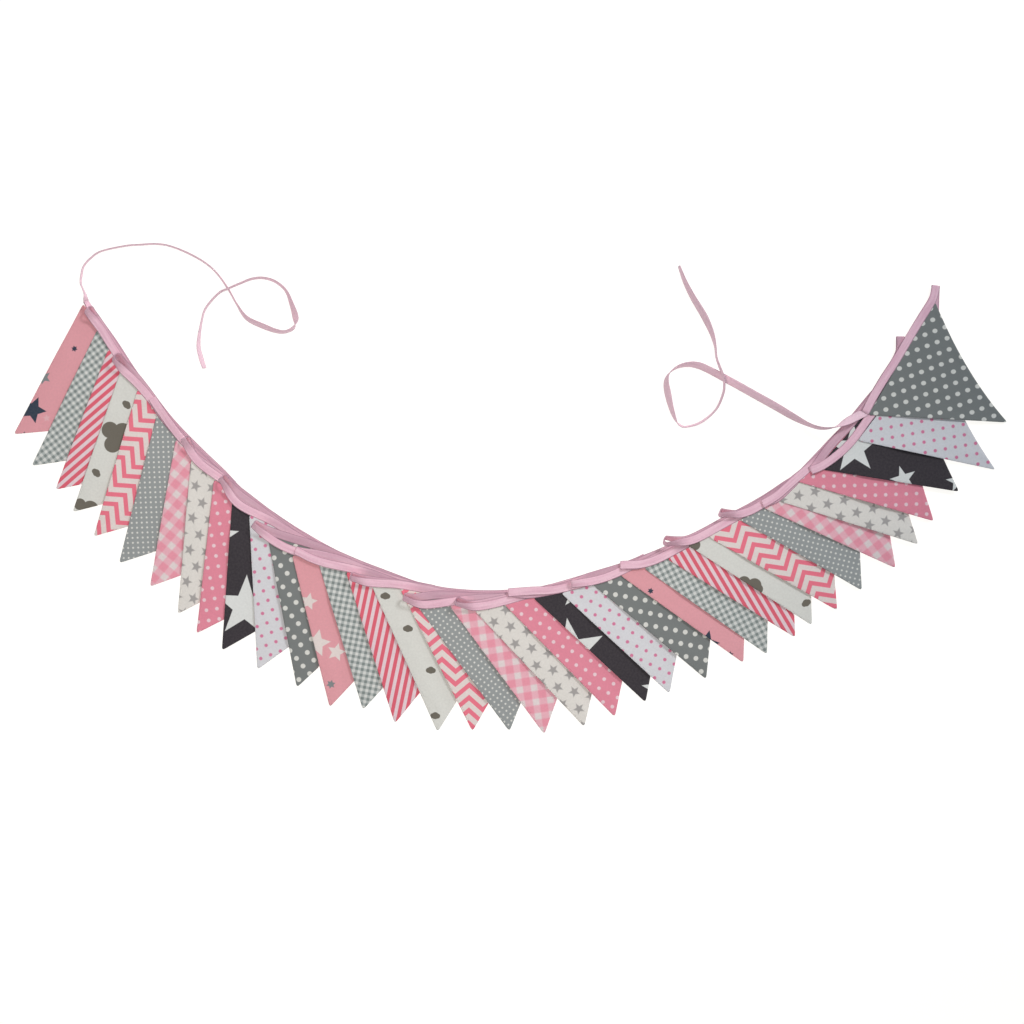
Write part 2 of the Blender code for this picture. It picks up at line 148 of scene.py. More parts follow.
# Each fold at the left of the zigzag: its end in pixels, the opening between its arms, the angle at
# which the tape stands there, and the length over which it lies down again
LeftFold = namedtuple("LeftFold", "x y opening stand reach")
LEFT_FOLDS = [LeftFold(*row) for row in (
    (88.0, 309.0, 0.0075, 36.0, 0.014),
    (114.5, 357.0, 0.0090, 54.0, 0.020),
    (153.5, 398.5, LAYER, 0.0, 0.020),
    (185.0, 439.5, 0.0055, 42.0, 0.016),
    (222.0, 479.0, 0.0065, 50.0, 0.020),
    (254.5, 524.5, 0.0050, 38.0, 0.022),
    (297.0, 550.0, LAYER, 0.0, 0.020),
    (351.0, 577.0, 0.0055, 48.0, 0.024),
    (404.0, 597.5, 0.0050, 48.0, 0.030),
    (455.0, 603.0, 0.0070, 60.0, 0.028),
    (508.6, 592.0, LAYER, 0.0, 0.020),
    (571.0, 583.5, 0.0030, 25.0, 0.020),
    (620.0, 565.0, LAYER, 0.0, 0.020),
    (664.0, 545.0, 0.0085, 62.0, 0.028),
    (719.5, 516.0, 0.0065, 56.0, 0.030),
    (761.5, 504.0, LAYER, 0.0, 0.020),
    (810.0, 470.5, LAYER, 0.0, 0.020),
)]

# Each fold at the right: how far it lies past its flag's corner, and how far the tape bends inward
RightFold = namedtuple("RightFold", "past bend")
HIDDEN_RIGHT_FOLD = RightFold(PITCH, 8.0)
SHOWN_RIGHT_FOLDS = {
    2: RightFold(0.020, -6.0),
    17: RightFold(0.0252, 44.0),
    18: RightFold(0.0155, 28.0),
}

# Each tie as points along it: the pixel, the angle at which the tape stands, its height over the
# surface, and the share of the heap's height that carries it
TieRow = namedtuple("TieRow", "x y stand lift heap", defaults=(0.0, 0.0))
TIE_LEFT = [TieRow(*row) for row in (
    (86.0, 294.8, 84),
    (84.0, 290.0, 90),
    (81.6, 283.6, 90),
    (82.3, 275.5, 90),
    (84.5, 266.8, 92),
    (91.1, 259.0, 92),
    (101.9, 251.7, 92),
    (125.8, 246.4, 90),
    (141.0, 245.2, 89),
    (156.1, 244.4, 88),
    (170.2, 246.4, 86),
    (188.7, 253.6, 83),
    (206.0, 263.4, 82),
    (217.9, 274.2, 81),
    (228.8, 289.4, 78),
    (237.4, 304.6, 78),
    (247.2, 318.2, 63),
    (263.5, 326.3, 56),
    (277.6, 331.4, 67),
    (286.6, 331.8, 77),
    (294.4, 327.3, 79),
    (296.2, 318.7, 137),
    (292.4, 305.2, 123),
    (286.2, 290.8, 107),
    (275.4, 281.8, 103, 0.001),
    (263.5, 278.6, 99, 0.003),
    (252.6, 279.9, 96, 0.006),
    (242.9, 284.0, 94, 0.009),
    (229.9, 289.8, 93, 0.0105),
    (220.1, 294.5, 92, 0.009),
    (207.1, 308.3, 92, 0.004),
    (202.3, 321.9, 92, 0.001),
    (199.0, 344.7, 106),
    (201.7, 358.8, 114),
    (204.9, 368.5, 109),
)]
TIE_RIGHT = [TieRow(*row) for row in (
    (858.0, 415.4, 8, 0.0, 1.0),
    (846.0, 421.6, 32, 0.0, 1.0),
    (834.0, 427.4, 86, 0.0, 0.85),
    (821.0, 428.6, 105, 0.0, 0.45),
    (808.0, 424.8, 112, 0.0, 0.15),
    (792.0, 416.2, 136),
    (774.0, 405.6, 146),
    (757.0, 396.2, 147),
    (741.0, 387.2, 147),
    (723.0, 377.4, 145),
    (710.0, 370.6, 140),
    (699.8, 366.0, 139),
    (689.4, 364.4, 124),
    (678.0, 366.8, 107),
    (669.2, 373.2, 88),
    (666.2, 381.4, 62),
    (667.6, 392.8, 45),
    (671.0, 407.7, 60),
    (674.8, 418.8, 78),
    (678.8, 424.8, 104),
    (685.8, 427.0, 101),
    (700.7, 422.4, 103),
    (715.4, 410.0, 98, 0.001),
    (722.0, 395.6, 99, 0.004),
    (723.4, 386.6, 97, 0.0065),
    (722.4, 376.7, 97, 0.0065),
    (718.8, 366.8, 98, 0.004),
    (716.0, 357.6, 95, 0.0015),
    (715.0, 346.8, 98),
    (711.6, 333.4, 116),
    (704.4, 317.0, 133),
    (692.9, 297.8, 125),
    (684.8, 282.0, 112),
    (678.8, 266.4, 98),
)]

# How the cloth is divided: points along each side of a flag, and rings in from its edge, each with
# half the thickness of the turned seam there
SIDE_STEPS = 34
Ring = namedtuple("Ring", "inset half_thickness")
RINGS = [Ring(*row) for row in (
    (0.0, 0.0),
    (0.0003, 0.00024),
    (0.0010, 0.00040),
    (0.0026, 0.00044),
    (0.0050, 0.00042),
    (0.0066, 0.00028),
    (0.0100, 0.00028),
    (0.0150, 0.00028),
    (0.0205, 0.00028),
    (0.0265, 0.00028),
    (0.0330, 0.00028),
    (0.0395, 0.00028),
)]

# The folded tape across its width in millimetres, from one open edge round the fold to the other and
# back inside
TapePoint = namedtuple("TapePoint", "across off")
TAPE_PROFILE = [TapePoint(*row) for row in (
    (-4.75, 0.52),
    (-4.10, 0.56),
    (-3.35, 0.40),
    (-2.60, 0.56),
    (0.0, 0.58),
    (3.2, 0.54),
    (4.35, 0.38),
    (4.75, 0.0),
    (4.35, -0.38),
    (3.2, -0.54),
    (0.0, -0.58),
    (-2.60, -0.56),
    (-3.35, -0.40),
    (-4.10, -0.56),
    (-4.75, -0.52),
    (-4.75, -0.16),
    (-3.35, -0.04),
    (3.6, -0.05),
    (3.6, 0.05),
    (-3.35, 0.04),
    (-4.75, 0.16),
)]

# How the tape is divided, and the length from an open edge round its outside to the fold
STATION_STEP = 0.0036
EASED_ROUNDS = 8
FOLD_STEPS = 8
TIE_STEPS = 5
HALF_ROUND = 0.0097

# How unevenly a run of tape lies: its wander and its leans, which fade at its ends and towards the
# arc's left end, and how far other runs cover it, which sets a painted shade on it that differs from run to
# run
RUN_WANDER = 0.0022
SHARED_LEAN = 42.0
OWN_LEAN = 16.0
RUN_ENDS = (0.0, 0.02)
FLAT_PAST = (-44.0, -56.0)
FLATTENED = 0.8
COVERED_OVER = (0.0, 2.5)
COVER_SHADE_RUNS = 3
COVER_SHADE_STEP = 0.22

# How steeply the tape stands where the first flag starts, the length over which it lies down, the gap
# before a tie, and the place on the tape's map at which a tie starts
ROOT_STAND = math.radians(60)
ROOT_LENGTH = 0.03
TIE_GAP = 0.0003
TIE_START = 20.0

# How a flag's cloth rises over its layer: the part of its left edge over which that starts, the strip
# along the edge and the last flag's part on which nothing lies, the rise and its ripples, and the tip
FREE_PART = (0.022, 0.060)
BARE_STRIP = (0.010, 0.024)
BARE_SHARE = (0.02, 0.20)
EVEN_RISE = 0.0013
RIPPLE_RISE = 0.0016
FINE_RISE = 0.0003
LOWEST_RISE = -0.0002
TIP_PART = (0.9, 1.0)
TIP_RISE = 0.0010
TIP_RIPPLE = 0.4

# A share too small to matter, which keeps a division or a rounding from failing
TINY = 1e-6

# Smooth noise: its waves to a metre, its step from one run or flag to the next, and where it starts
Waves = namedtuple("Waves", "scale step start")
WANDER_WAVES = Waves(14, 3.7, 0.4)
SHARED_WAVES = Waves(9, 0.0, 3.3)
OWN_WAVES = Waves(22, 5.3, 8.1)
RIPPLE_WAVES = Waves(16, 2.3, 0.0)
FINE_WAVES = Waves(42, 4.9, 0.0)


def place(x_px, y_px):
    """The point of the plan under a pixel of the photograph."""
    return Vector(((x_px - ORIGIN_PX[0]) * PIXEL, (ORIGIN_PX[1] - y_px) * PIXEL))


ARC_CENTRE = place(*ARC_PX)


def compass(angle):
    """The plan direction at this angle from straight down, positive to the right."""
    return Vector((math.sin(math.radians(angle)), -math.cos(math.radians(angle))))


def between(x, low, high):
    """0 at low, 1 at high and a smooth change between them."""
    share = min(max((x - low) / (high - low), 0.0), 1.0)
    return share * share * (3 - 2 * share)


def raised(point, z):
    """A plan point at a height."""
    return Vector((point.x, point.y, z))


def waves_along(waves, travelled, number):
    """Smooth noise, from about -1 to 1, along a run of the tape."""
    return noise.noise(Vector((travelled * waves.scale, number * waves.step, waves.start)))


def waves_over(waves, point, number):
    """Smooth noise, from about -1 to 1, over the plan."""
    layer = number * waves.step + waves.start
    return noise.noise(Vector((point.x * waves.scale, point.y * waves.scale, layer)))


def round_arc(point):
    """The angle of a plan point round the arc's centre, in degrees from straight down."""
    arm = point - ARC_CENTRE
    return math.degrees(math.atan2(arm.x, -arm.y))


def surface_layer(point):
    """The number of the layer that lies on the surface at this plan point, as a smooth field."""
    share = ((point - ARC_CENTRE).length - BAND_RADIUS) / (TIP_RADIUS - BAND_RADIUS)
    line = BAND_LINE + (TIP_LINE - BAND_LINE) * share
    step = BAND_STEP + (TIP_STEP - BAND_STEP) * share
    over_first = (round_arc(point) - line) / step - HOLD_BACK - 1.0
    if over_first <= -TOE:
        return 1.0
    if over_first >= TOE:
        return 1.0 + over_first
    return 1.0 + (over_first + TOE) ** 2 / (4 * TOE)


def height(layer, point):
    """Height of the middle of this layer's sheet at a plan point."""
    return CLOTH / 2 + max(0.0, LAYER * (layer - surface_layer(point)))


def read_between(rows, at):
    """The second column of a table at a value of its first one, even between rows."""
    for low, high in zip(rows, rows[1:]):
        if at <= high[0]:
            share = max(at - low[0], 0.0) / (high[0] - low[0])
            return low[1] + (high[1] - low[1]) * share
    return rows[-1][1]


def clear_of_heap_edge(point, number, inset):
    """The plan point, moved out from the arc's centre where the heap of tape would end before it."""
    arm = point - ARC_CENTRE
    stagger = STAGGER * (number % STAGGERED_RUNS)
    least = read_between(HEAP_EDGE, round_arc(point)) + stagger + inset
    return ARC_CENTRE + arm * max(1.0, least / arm.length)


def flag_corners(number):
    """Left corner, right corner and tip of a flag in plan."""
    row = FLAGS[number - 1]
    tip = place(row.tip_x, row.tip_y)
    leg = read_between(LEGS, number)
    left = tip - compass(row.lean) * leg
    right = tip - compass(row.lean - NARROW_TIPS.get(number, APEX)) * leg
    return left, right, tip


def inward(direction, point):
    """The normal to a plan direction on the side of the arc's centre."""
    normal = Vector((-direction.y, direction.x)).normalized()
    return normal if normal.dot(ARC_CENTRE - point) > 0 else -normal


def top_edge(number):
    """Points along a flag's top edge, from left to right, which bends where the heap of tape ends."""
    left, right, _ = flag_corners(number)
    shares = [step / CHORD_STEPS for step in range(CHORD_STEPS + 1)]
    inset = TAPE_WIDTH - SEAM_OVERLAP
    return [clear_of_heap_edge(left.lerp(right, share), number, inset) for share in shares]


def way_at(points, index):
    """The way that a line of points takes at one of them, from the one before to the one after."""
    return points[min(index + 1, len(points) - 1)] - points[max(index - 1, 0)]


def tape_chord(number):
    """The tape's middle line along a flag's top edge, and its direction at each end."""
    edge = top_edge(number)
    line = []
    for index, point in enumerate(edge):
        line.append(point + inward(way_at(edge, index), point) * (TAPE_WIDTH / 2 - SEAM_OVERLAP))
    return line, line[1] - line[0], line[-1] - line[-2]


def shown_corner(number):
    """The tape's middle line over the corner that shows of a flag."""
    row = FLAGS[number - 1]
    corner = place(row.tip_x, row.tip_y) - compass(row.lean) * row.shown * PIXEL
    edge = top_edge(number)
    return corner + inward(edge[1] - edge[0], corner) * TAPE_WIDTH / 2


def curve_between(start, start_way, end, end_way, steps):
    """Points from start up to end, on a cubic that leaves and arrives along two directions."""
    reach = (end - start).length
    points = []
    for step in range(steps):
        t = step / steps
        points.append(
            start * (2 * t**3 - 3 * t**2 + 1)
            + start_way.normalized() * reach * (t**3 - 2 * t**2 + t)
            + end * (3 * t**2 - 2 * t**3)
            + end_way.normalized() * reach * (t**3 - t**2)
        )
    return points


def left_fold_end(fold_number, outer):
    """Where the upper (outer) or the lower arm of a left fold meets its turn, and the way in."""
    fold = LEFT_FOLDS[fold_number - 1]
    point = place(fold.x, fold.y)
    arm = ARC_CENTRE - point
    way = Vector((-arm.y, arm.x)).normalized()
    if way.x < 0:
        way = -way
    if not outer:
        point = point + inward(way, point) * fold.opening * math.sin(math.radians(fold.stand))
    return point + way * fold.opening / 2, way


def right_fold_end(fold_number):
    """The plan point of a fold at the right, and the direction in which the tape reaches it."""
    fold = SHOWN_RIGHT_FOLDS.get(fold_number, HIDDEN_RIGHT_FOLD)
    line, _, chord = tape_chord(2 * fold_number)
    right = line[-1]
    chord = chord.normalized()
    bend = math.radians(fold.bend)
    turned = inward(chord, right) * math.sin(bend) + chord * math.cos(bend)
    halfway = (chord + turned).normalized()
    return right + halfway * fold.past, turned


def run_plan(number):
    """The tape's middle line along one run of the zigzag, in plan, from left to right."""
    line, left_way, right_way = tape_chord(number)
    fold_number = number // 2
    points = []
    if 1 < number < len(FLAGS):
        outer = number % 2 == 1
        end, way = left_fold_end(fold_number, outer)
        if outer:
            middle = shown_corner(number - 1)
            middle_way = line[0] - end
            points += curve_between(end, way, middle, middle_way, ARM_STEPS)
            points += curve_between(middle, middle_way, line[0], left_way, ARM_STEPS - 1)
        else:
            points += curve_between(end, way, line[0], left_way, ARM_STEPS)
    points += line[:-1]
    fold_end, fold_way = right_fold_end((number + 1) // 2)
    points += curve_between(line[-1], right_way, fold_end, fold_way, ARM_STEPS - 1)
    points.append(fold_end)
    return points


def evened(points, spacing, rounds):
    """The same line with points about this far apart and its corners eased."""
    lengths = [0.0]
    for first, last in zip(points, points[1:]):
        lengths.append(lengths[-1] + (last - first).length)
    count = max(2, round(lengths[-1] / spacing))
    line = []
    piece = 0
    for step in range(count + 1):
        at = lengths[-1] * step / count
        while piece < len(points) - 2 and at > lengths[piece + 1]:
            piece += 1
        share = (at - lengths[piece]) / (lengths[piece + 1] - lengths[piece])
        line.append(points[piece].lerp(points[piece + 1], min(share, 1.0)))
    for _ in range(rounds):
        eased = [(a + 2 * b + c) / 4 for a, b, c in zip(line, line[1:], line[2:])]
        line = [line[0], *eased, line[-1]]
    return line


def cover_angle(number):
    """The angle round the arc past which other runs of tape lie over this one."""
    if number == len(FLAGS):
        return 180.0
    if number % 2 == 0:
        return -180.0
    if number == len(FLAGS) - 1:
        return round_arc(tape_chord(len(FLAGS))[0][0])
    fold = LEFT_FOLDS[(number + 1) // 2 - 1]
    return round_arc(place(fold.x, fold.y))


def run_stations(number):
    """The tape's two edges along one run, from left to right, and how far other runs cover it there, for a
    painted shade.
    """
    covered_from = cover_angle(number)
    plan = evened(run_plan(number), STATION_STEP, EASED_ROUNDS)
    fold = LEFT_FOLDS[number // 2 - 1] if 1 < number < len(FLAGS) else None
    total = len(plan) * STATION_STEP
    stations = []
    for index, point in enumerate(plan):
        inner_side = inward(way_at(plan, index), point)
        travelled = index * STATION_STEP
        ends = between(travelled, *RUN_ENDS) * between(total - travelled, *RUN_ENDS)
        wander = waves_along(WANDER_WAVES, travelled, number) * RUN_WANDER * ends
        lean = SHARED_LEAN * waves_over(SHARED_WAVES, point, number)
        lean += OWN_LEAN * waves_along(OWN_WAVES, travelled, number)
        flat = 1.0 - FLATTENED * between(round_arc(point), *FLAT_PAST)
        roll = math.radians(lean) * ends * flat
        middle = point + inner_side * wander
        across = inner_side * TAPE_WIDTH / 2
        stand = max(roll, 0.0)
        lift = 0.0
        if fold:
            near = 1.0 - between(travelled, 0.0, fold.reach)
            stand += math.radians(fold.stand) * near
            if number % 2:
                lift = (fold.opening * math.cos(math.radians(fold.stand)) - LAYER) * near
        tip_up = ROOT_STAND * (1.0 - between(travelled, 0.0, ROOT_LENGTH)) if number == 1 else 0.0
        outer = middle - across * math.cos(stand + tip_up)
        inner = middle + across * math.cos(stand + tip_up)
        outer_z = height(number, outer) + lift + TAPE_WIDTH * math.sin(tip_up)
        inner_z = height(number, inner) + lift + TAPE_WIDTH * math.sin(stand)
        # Painted shade: its share where other runs lie over this one. It is less on some runs than on
        # others, and it is none where the run leaves a left fold, rising over the fold's reach
        cover = between(round_arc(middle) - covered_from, *COVERED_OVER)
        cover *= 1.0 - COVER_SHADE_STEP * (number % COVER_SHADE_RUNS)
        if fold:
            cover = min(cover, 1.0 - near)
        stations.append((raised(outer, outer_z), raised(inner, inner_z), cover))
    return stations


def turn_stations(start, end, way):
    """The tape round a fold: half an ellipse from one arm's end to the other's, past them along way."""
    stations = []
    for step in range(1, FOLD_STEPS):
        angle = math.pi * step / FOLD_STEPS
        pair = []
        for first, last in zip(start[:2], end[:2]):
            centre = (first + last) / 2
            radius = (last - first) / 2
            past = way * radius.length * math.sin(angle)
            pair.append(centre - radius * math.cos(angle) + past)
        stations.append((*pair, start[2] + (end[2] - start[2]) * step / FOLD_STEPS))
    return stations


def binding_stations():
    """The tape's edges along the whole binding, from the left tie to the right one."""
    path = run_stations(1)
    for number in range(2, len(FLAGS) + 1):
        run = run_stations(number)
        if number % 2 == 0:
            run.reverse()
            way = right_fold_end(number // 2)[1].to_3d()
        else:
            way = -left_fold_end(number // 2, True)[1].to_3d()
        path += turn_stations(path[-1], run[0], way)
        path += run
    return path


def on_curve(a, b, c, d, t):
    """The value at share t of the way from b to c, on a smooth curve through four even values."""
    cubic = 3 * b - a - 3 * c + d
    return 0.5 * (2 * b + (c - a) * t + (2 * a - 5 * b + 4 * c - d) * t**2 + cubic * t**3)


def smooth_route(rows):
    """Rows with TIE_STEPS for each given one, on a smooth curve through them."""
    route = []
    for index in range(len(rows) - 1):
        before = rows[max(index - 1, 0)]
        start = rows[index]
        end = rows[index + 1]
        after = rows[min(index + 2, len(rows) - 1)]
        for step in range(TIE_STEPS):
            route.append([
                on_curve(*column, step / TIE_STEPS) for column in zip(before, start, end, after)
            ])
    route.append(list(rows[-1]))
    return route


def tie_stations(rows, flag_number):
    """The edges of a tie that goes on from the binding's end at the left corner of a flag."""
    line, way, _ = tape_chord(flag_number)
    away = -way.normalized()
    root = line[0] + away * TIE_GAP
    root_stand = ROOT_STAND if flag_number == 1 else 0.0
    side = Vector((-away.y, away.x)) * TAPE_WIDTH / 2 * math.cos(root_stand)
    low = height(flag_number, root - side)
    high = height(flag_number, root + side) + TAPE_WIDTH * math.sin(root_stand)
    stations = [(raised(root - side, low), raised(root + side, high), 0.0)]
    route = smooth_route(rows)
    plan = [root] + [place(x_px, y_px) for x_px, y_px, _, _, _ in route]
    for index, (_, _, stand, lift, heap) in enumerate(route, 1):
        point = plan[index]
        way = way_at(plan, index).normalized()
        across = Vector((-way.y, way.x)) * TAPE_WIDTH / 2 * math.cos(math.radians(stand))
        low = CLOTH / 2 + max(lift, 0.0) + max(heap, 0.0) * (height(flag_number, point) - CLOTH / 2)
        high = low + TAPE_WIDTH * math.sin(math.radians(stand))
        stations.append((raised(point - across, low), raised(point + across, high), 0.0))
    return stations


def link(name, surface, material):
    """A finished mesh as an object with one material and smooth shading."""
    mesh = bpy.data.meshes.new(name)
    surface.to_mesh(mesh)
    surface.free()
    mesh.materials.append(material)
    for face in mesh.polygons:
        face.use_smooth = True
    piece = bpy.data.objects.new(name, mesh)
    bpy.context.scene.collection.objects.link(piece)
    return piece


def folded_tape(name, stations, material, start=0.0):
    """Tape folded over along its length, through pairs of edge points, with its UV in metres from start."""
    surface = bmesh.new()
    layer = surface.loops.layers.uv.new("tape")
    # A second map carries the share of painted shade at each station
    cover_shade_layer = surface.loops.layers.uv.new("cover")
    centres = [(outer + inner) / 2 for outer, inner, _ in stations]
    rings = []
    for index, (outer, inner, _) in enumerate(stations):
        along = way_at(centres, index).normalized()
        across = (inner - outer).normalized()
        off = along.cross(across).normalized()
        rings.append([
            surface.verts.new(centres[index] + (across * row.across + off * row.off) / 1000)
            for row in TAPE_PROFILE
        ])
    count = len(TAPE_PROFILE)
    round_profile = [0.0]
    for first, last in zip(TAPE_PROFILE, TAPE_PROFILE[1:] + TAPE_PROFILE[:1]):
        step = math.hypot(last.across - first.across, last.off - first.off)
        round_profile.append(round_profile[-1] + step / 1000)
    travelled = 0.0
    for index, (ring, next_ring) in enumerate(zip(rings, rings[1:])):
        step = (centres[index + 1] - centres[index]).length
        for side in range(count):
            nxt = (side + 1) % count
            face = surface.faces.new((ring[side], ring[nxt], next_ring[nxt], next_ring[side]))
            spots = (
                (start + travelled, round_profile[side]),
                (start + travelled, round_profile[side + 1]),
                (start + travelled + step, round_profile[side + 1]),
                (start + travelled + step, round_profile[side]),
            )
            for loop, spot, station in zip(face.loops, spots, (index, index, index + 1, index + 1)):
                loop[layer].uv = spot
                loop[cover_shade_layer].uv = (stations[station][2], 0.0)
        travelled += step
    surface.faces.new(rings[0])
    surface.faces.new(list(reversed(rings[-1])))
    bmesh.ops.recalc_face_normals(surface, faces=surface.faces[:])
    return link(name, surface, material), travelled, centres


def flag_point(number, right_share, tip_share):
    """The plan point of a flag at its shares of the right corner and of the tip."""
    edge = top_edge(number)
    tip = flag_corners(number)[2]
    along = CHORD_STEPS * min(max(right_share / max(1.0 - tip_share, TINY), 0.0), 1.0)
    index = min(int(along + TINY), CHORD_STEPS - 1)
    on_edge = edge[index].lerp(edge[index + 1], along - index)
    bow = (edge[0] - edge[-1]).normalized() * BOWS.get(number, 0.0)
    return on_edge.lerp(tip, tip_share) + bow * 4 * right_share * tip_share


def flag_axes(number):
    """A flag's tip, the direction from it to the top edge's middle, and the one across to the right."""
    row = FLAGS[number - 1]
    down = compass(row.lean - APEX / 2)
    return place(row.tip_x, row.tip_y), -down, Vector((-down.y, down.x))


def on_cloth(number, point):
    """Where a plan point of a flag lies on its cloth: across and up from the tip, in metres."""
    tip, up, right = flag_axes(number)
    return Vector(((point - tip).dot(right), (point - tip).dot(up)))


def lay(number, point, tip_share):
    """How far a flag's cloth rises over its even layer at a plan point."""
    left, _, tip = flag_corners(number)
    edge = (tip - left).normalized()
    from_left = abs((point - left).cross(edge))
    free = between((point - left).dot(edge), *FREE_PART)
    ripple = waves_over(RIPPLE_WAVES, point, number)
    fine = waves_over(FINE_WAVES, point, number)
    bare = 1.0 - between(from_left, *BARE_STRIP)
    if number == len(FLAGS):
        bare = between(tip_share, *BARE_SHARE)
    rise = free * bare * (EVEN_RISE + RIPPLE_RISE * ripple + FINE_RISE * fine)
    tip_rise = TIP_RISE * between(tip_share, *TIP_PART) * max(ripple + TIP_RIPPLE, 0.0)
    return max(rise, LOWEST_RISE) + tip_rise


def rounded_ring(ring):
    """A ring of plan points with its three corners eased."""
    for _ in range(2):
        eased = list(ring)
        for corner in range(3):
            for offset in range(-1, 2):
                spot = (corner * SIDE_STEPS + offset) % len(ring)
                eased[spot] = (ring[spot - 1] + 2 * ring[spot] + ring[(spot + 1) % len(ring)]) / 4
        ring = eased
    return ring


def flag(number, material):
    """One pennant of two layers of cloth turned over a seam, from rings that close in on its middle."""
    left, right, tip = flag_corners(number)
    sides = ((right - tip).length, (tip - left).length, (left - right).length)
    girth = sum(sides)
    area = abs((right - left).cross(tip - left)) / 2
    inner_radius = 2 * area / girth
    corners = (Vector((0.0, 0.0)), Vector((1.0, 0.0)), Vector((0.0, 1.0)))
    centre = sum((corner * side for corner, side in zip(corners, sides)), Vector((0.0, 0.0))) / girth
    surface = bmesh.new()
    layer = surface.loops.layers.uv.new("cloth")
    rings = []
    for ring in RINGS:
        share = ring.inset / inner_radius
        shares = []
        for corner in range(3):
            start = corners[corner]
            end = corners[(corner + 1) % 3]
            for step in range(SIDE_STEPS):
                crowded = (1 - math.cos(math.pi * step / SIDE_STEPS)) / 2
                along = (crowded + step / SIDE_STEPS) / 2
                shares.append(start.lerp(end, along).lerp(centre, share))
        plan = rounded_ring([flag_point(number, spot.x, spot.y) for spot in shares])
        rings.append((ring.half_thickness, plan, shares))
    middle = flag_point(number, centre.x, centre.y)
    rings.append((RINGS[-1].half_thickness, [middle], [centre]))

    def vertex(point, spot, off):
        rise = lay(number, point, spot.y)
        return surface.verts.new((point.x, point.y, height(number, point) + rise + off))

    upper = []
    lower = []
    for half, plan, shares in rings:
        top = [vertex(point, spot, half) for point, spot in zip(plan, shares)]
        under = top if half == 0.0 else [vertex(point, spot, -half) for point, spot in zip(plan, shares)]
        upper.append(top)
        lower.append(under)
    for walls, flip in ((upper, False), (lower, True)):
        for outer, inner in zip(walls, walls[1:]):
            count = len(outer)
            for index in range(count):
                nxt = (index + 1) % count
                within = [inner[0]] if len(inner) == 1 else [inner[nxt], inner[index]]
                patch = [outer[index], outer[nxt], *within]
                surface.faces.new(list(reversed(patch)) if flip else patch)
    bmesh.ops.recalc_face_normals(surface, faces=surface.faces[:])
    for face in surface.faces:
        for loop in face.loops:
            loop[layer].uv = on_print(number, on_cloth(number, loop.vert.co.to_2d()))
    return link(f"cloth_{number:02d}", surface, material), area


# The cotton: the spacing of its threads, its sheen, its slubs and creases, and how rough and worn it is
FINE_THREAD = 0.00035
COARSE_THREAD = 0.00040
TAPE_THREAD = 0.00030
SHEEN = 0.10
SPECULAR = 0.20
SLUB_SCALE = 420.0
CREASE_SCALE = 24.0
CREASE_BEND = 0.8
CREASE_STRENGTH = 0.6
CREASE_DEPTH = 0.0022
TAPE_CREASE_DEPTH = 0.0010
THREAD_STRENGTH = 0.25
THREAD_DEPTH = 0.0001
ROUGHEST = 0.95
SLUB_SMOOTHER = 0.15
WORN_SLUBS = (0.70, 0.30)
WORN_SHARE = 0.08
WORN_TONE = (0.22, 0.19, 0.19, 1.0)

# The tape's stitching, its streaks, the painted shade along its edges and where other runs lie over it,
# and the painted light on its ties: places and lengths in metres, and shares of a colour
STITCH_LINE = 0.0014
STITCH_EDGE = (0.0005, 0.0002)
STITCH_LENGTH = 0.0026
STITCH_FILL = 0.72
STITCH_SHARE = 0.4
STREAK_SCALE = 300.0
STREAKED = (0.35, 0.65)
STREAK_STRETCH = 0.08
RIM_SHADE_EDGE = (0.0012, 0.0003)
RIM_SHADE_SHARE = 0.6
TIE_RIM_SHADE_LESS = 0.35
TIE_PAINTED_LIGHT_SHARE = 0.45
COVER_SHADE_SHARE = 0.5

# Group inputs and outputs that are places; the others are numbers
VECTORS = ("Cloth", "Place")

# A millimetre in metres, and how soft the edge of a crisp print is
MM = 0.001
SHARP = 0.0003


def tone(red, green, blue):
    """A colour of the photograph, 0 to 255 a channel, as the shader takes it."""
    channels = []
    for value in (red, green, blue):
        share = value / 255
        channels.append(share / 12.92 if share <= 0.04045 else ((share + 0.055) / 1.055) ** 2.4)
    return (*channels, 1.0)


def joined(tree, value, socket):
    """A number, vector or another node's output into a socket."""
    if isinstance(value, bpy.types.NodeSocket):
        tree.links.new(value, socket)
    else:
        socket.default_value = value


def calc(tree, operation, *values):
    """One Math node."""
    node = tree.nodes.new("ShaderNodeMath")
    node.operation = operation
    for value, socket in zip(values, node.inputs):
        joined(tree, value, socket)
    return node.outputs[0]


def plus(tree, first, last):
    """first + last."""
    return calc(tree, "ADD", first, last)


def minus(tree, first, last):
    """first - last."""
    return calc(tree, "SUBTRACT", first, last)


def times(tree, first, last):
    """first * last."""
    return calc(tree, "MULTIPLY", first, last)


def ratio(tree, first, last):
    """first / last."""
    return calc(tree, "DIVIDE", first, last)


def unsigned(tree, value):
    """The value without its sign."""
    return calc(tree, "ABSOLUTE", value)


def blend(tree, share, first, last):
    """One colour mix."""
    node = tree.nodes.new("ShaderNodeMix")
    node.data_type = "RGBA"
    joined(tree, share, node.inputs[0])
    joined(tree, first, node.inputs[6])
    joined(tree, last, node.inputs[7])
    return node.outputs[2]


def ramp(tree, value, low, high):
    """0 below low, 1 above high and a smooth rise between them."""
    node = tree.nodes.new("ShaderNodeMapRange")
    node.interpolation_type = "SMOOTHSTEP"
    joined(tree, value, node.inputs[0])
    joined(tree, low, node.inputs[1])
    joined(tree, high, node.inputs[2])
    return node.outputs[0]


def halves(tree, vector):
    """A vector's first two parts."""
    node = tree.nodes.new("ShaderNodeSeparateXYZ")
    joined(tree, vector, node.inputs[0])
    return node.outputs[0], node.outputs[1]


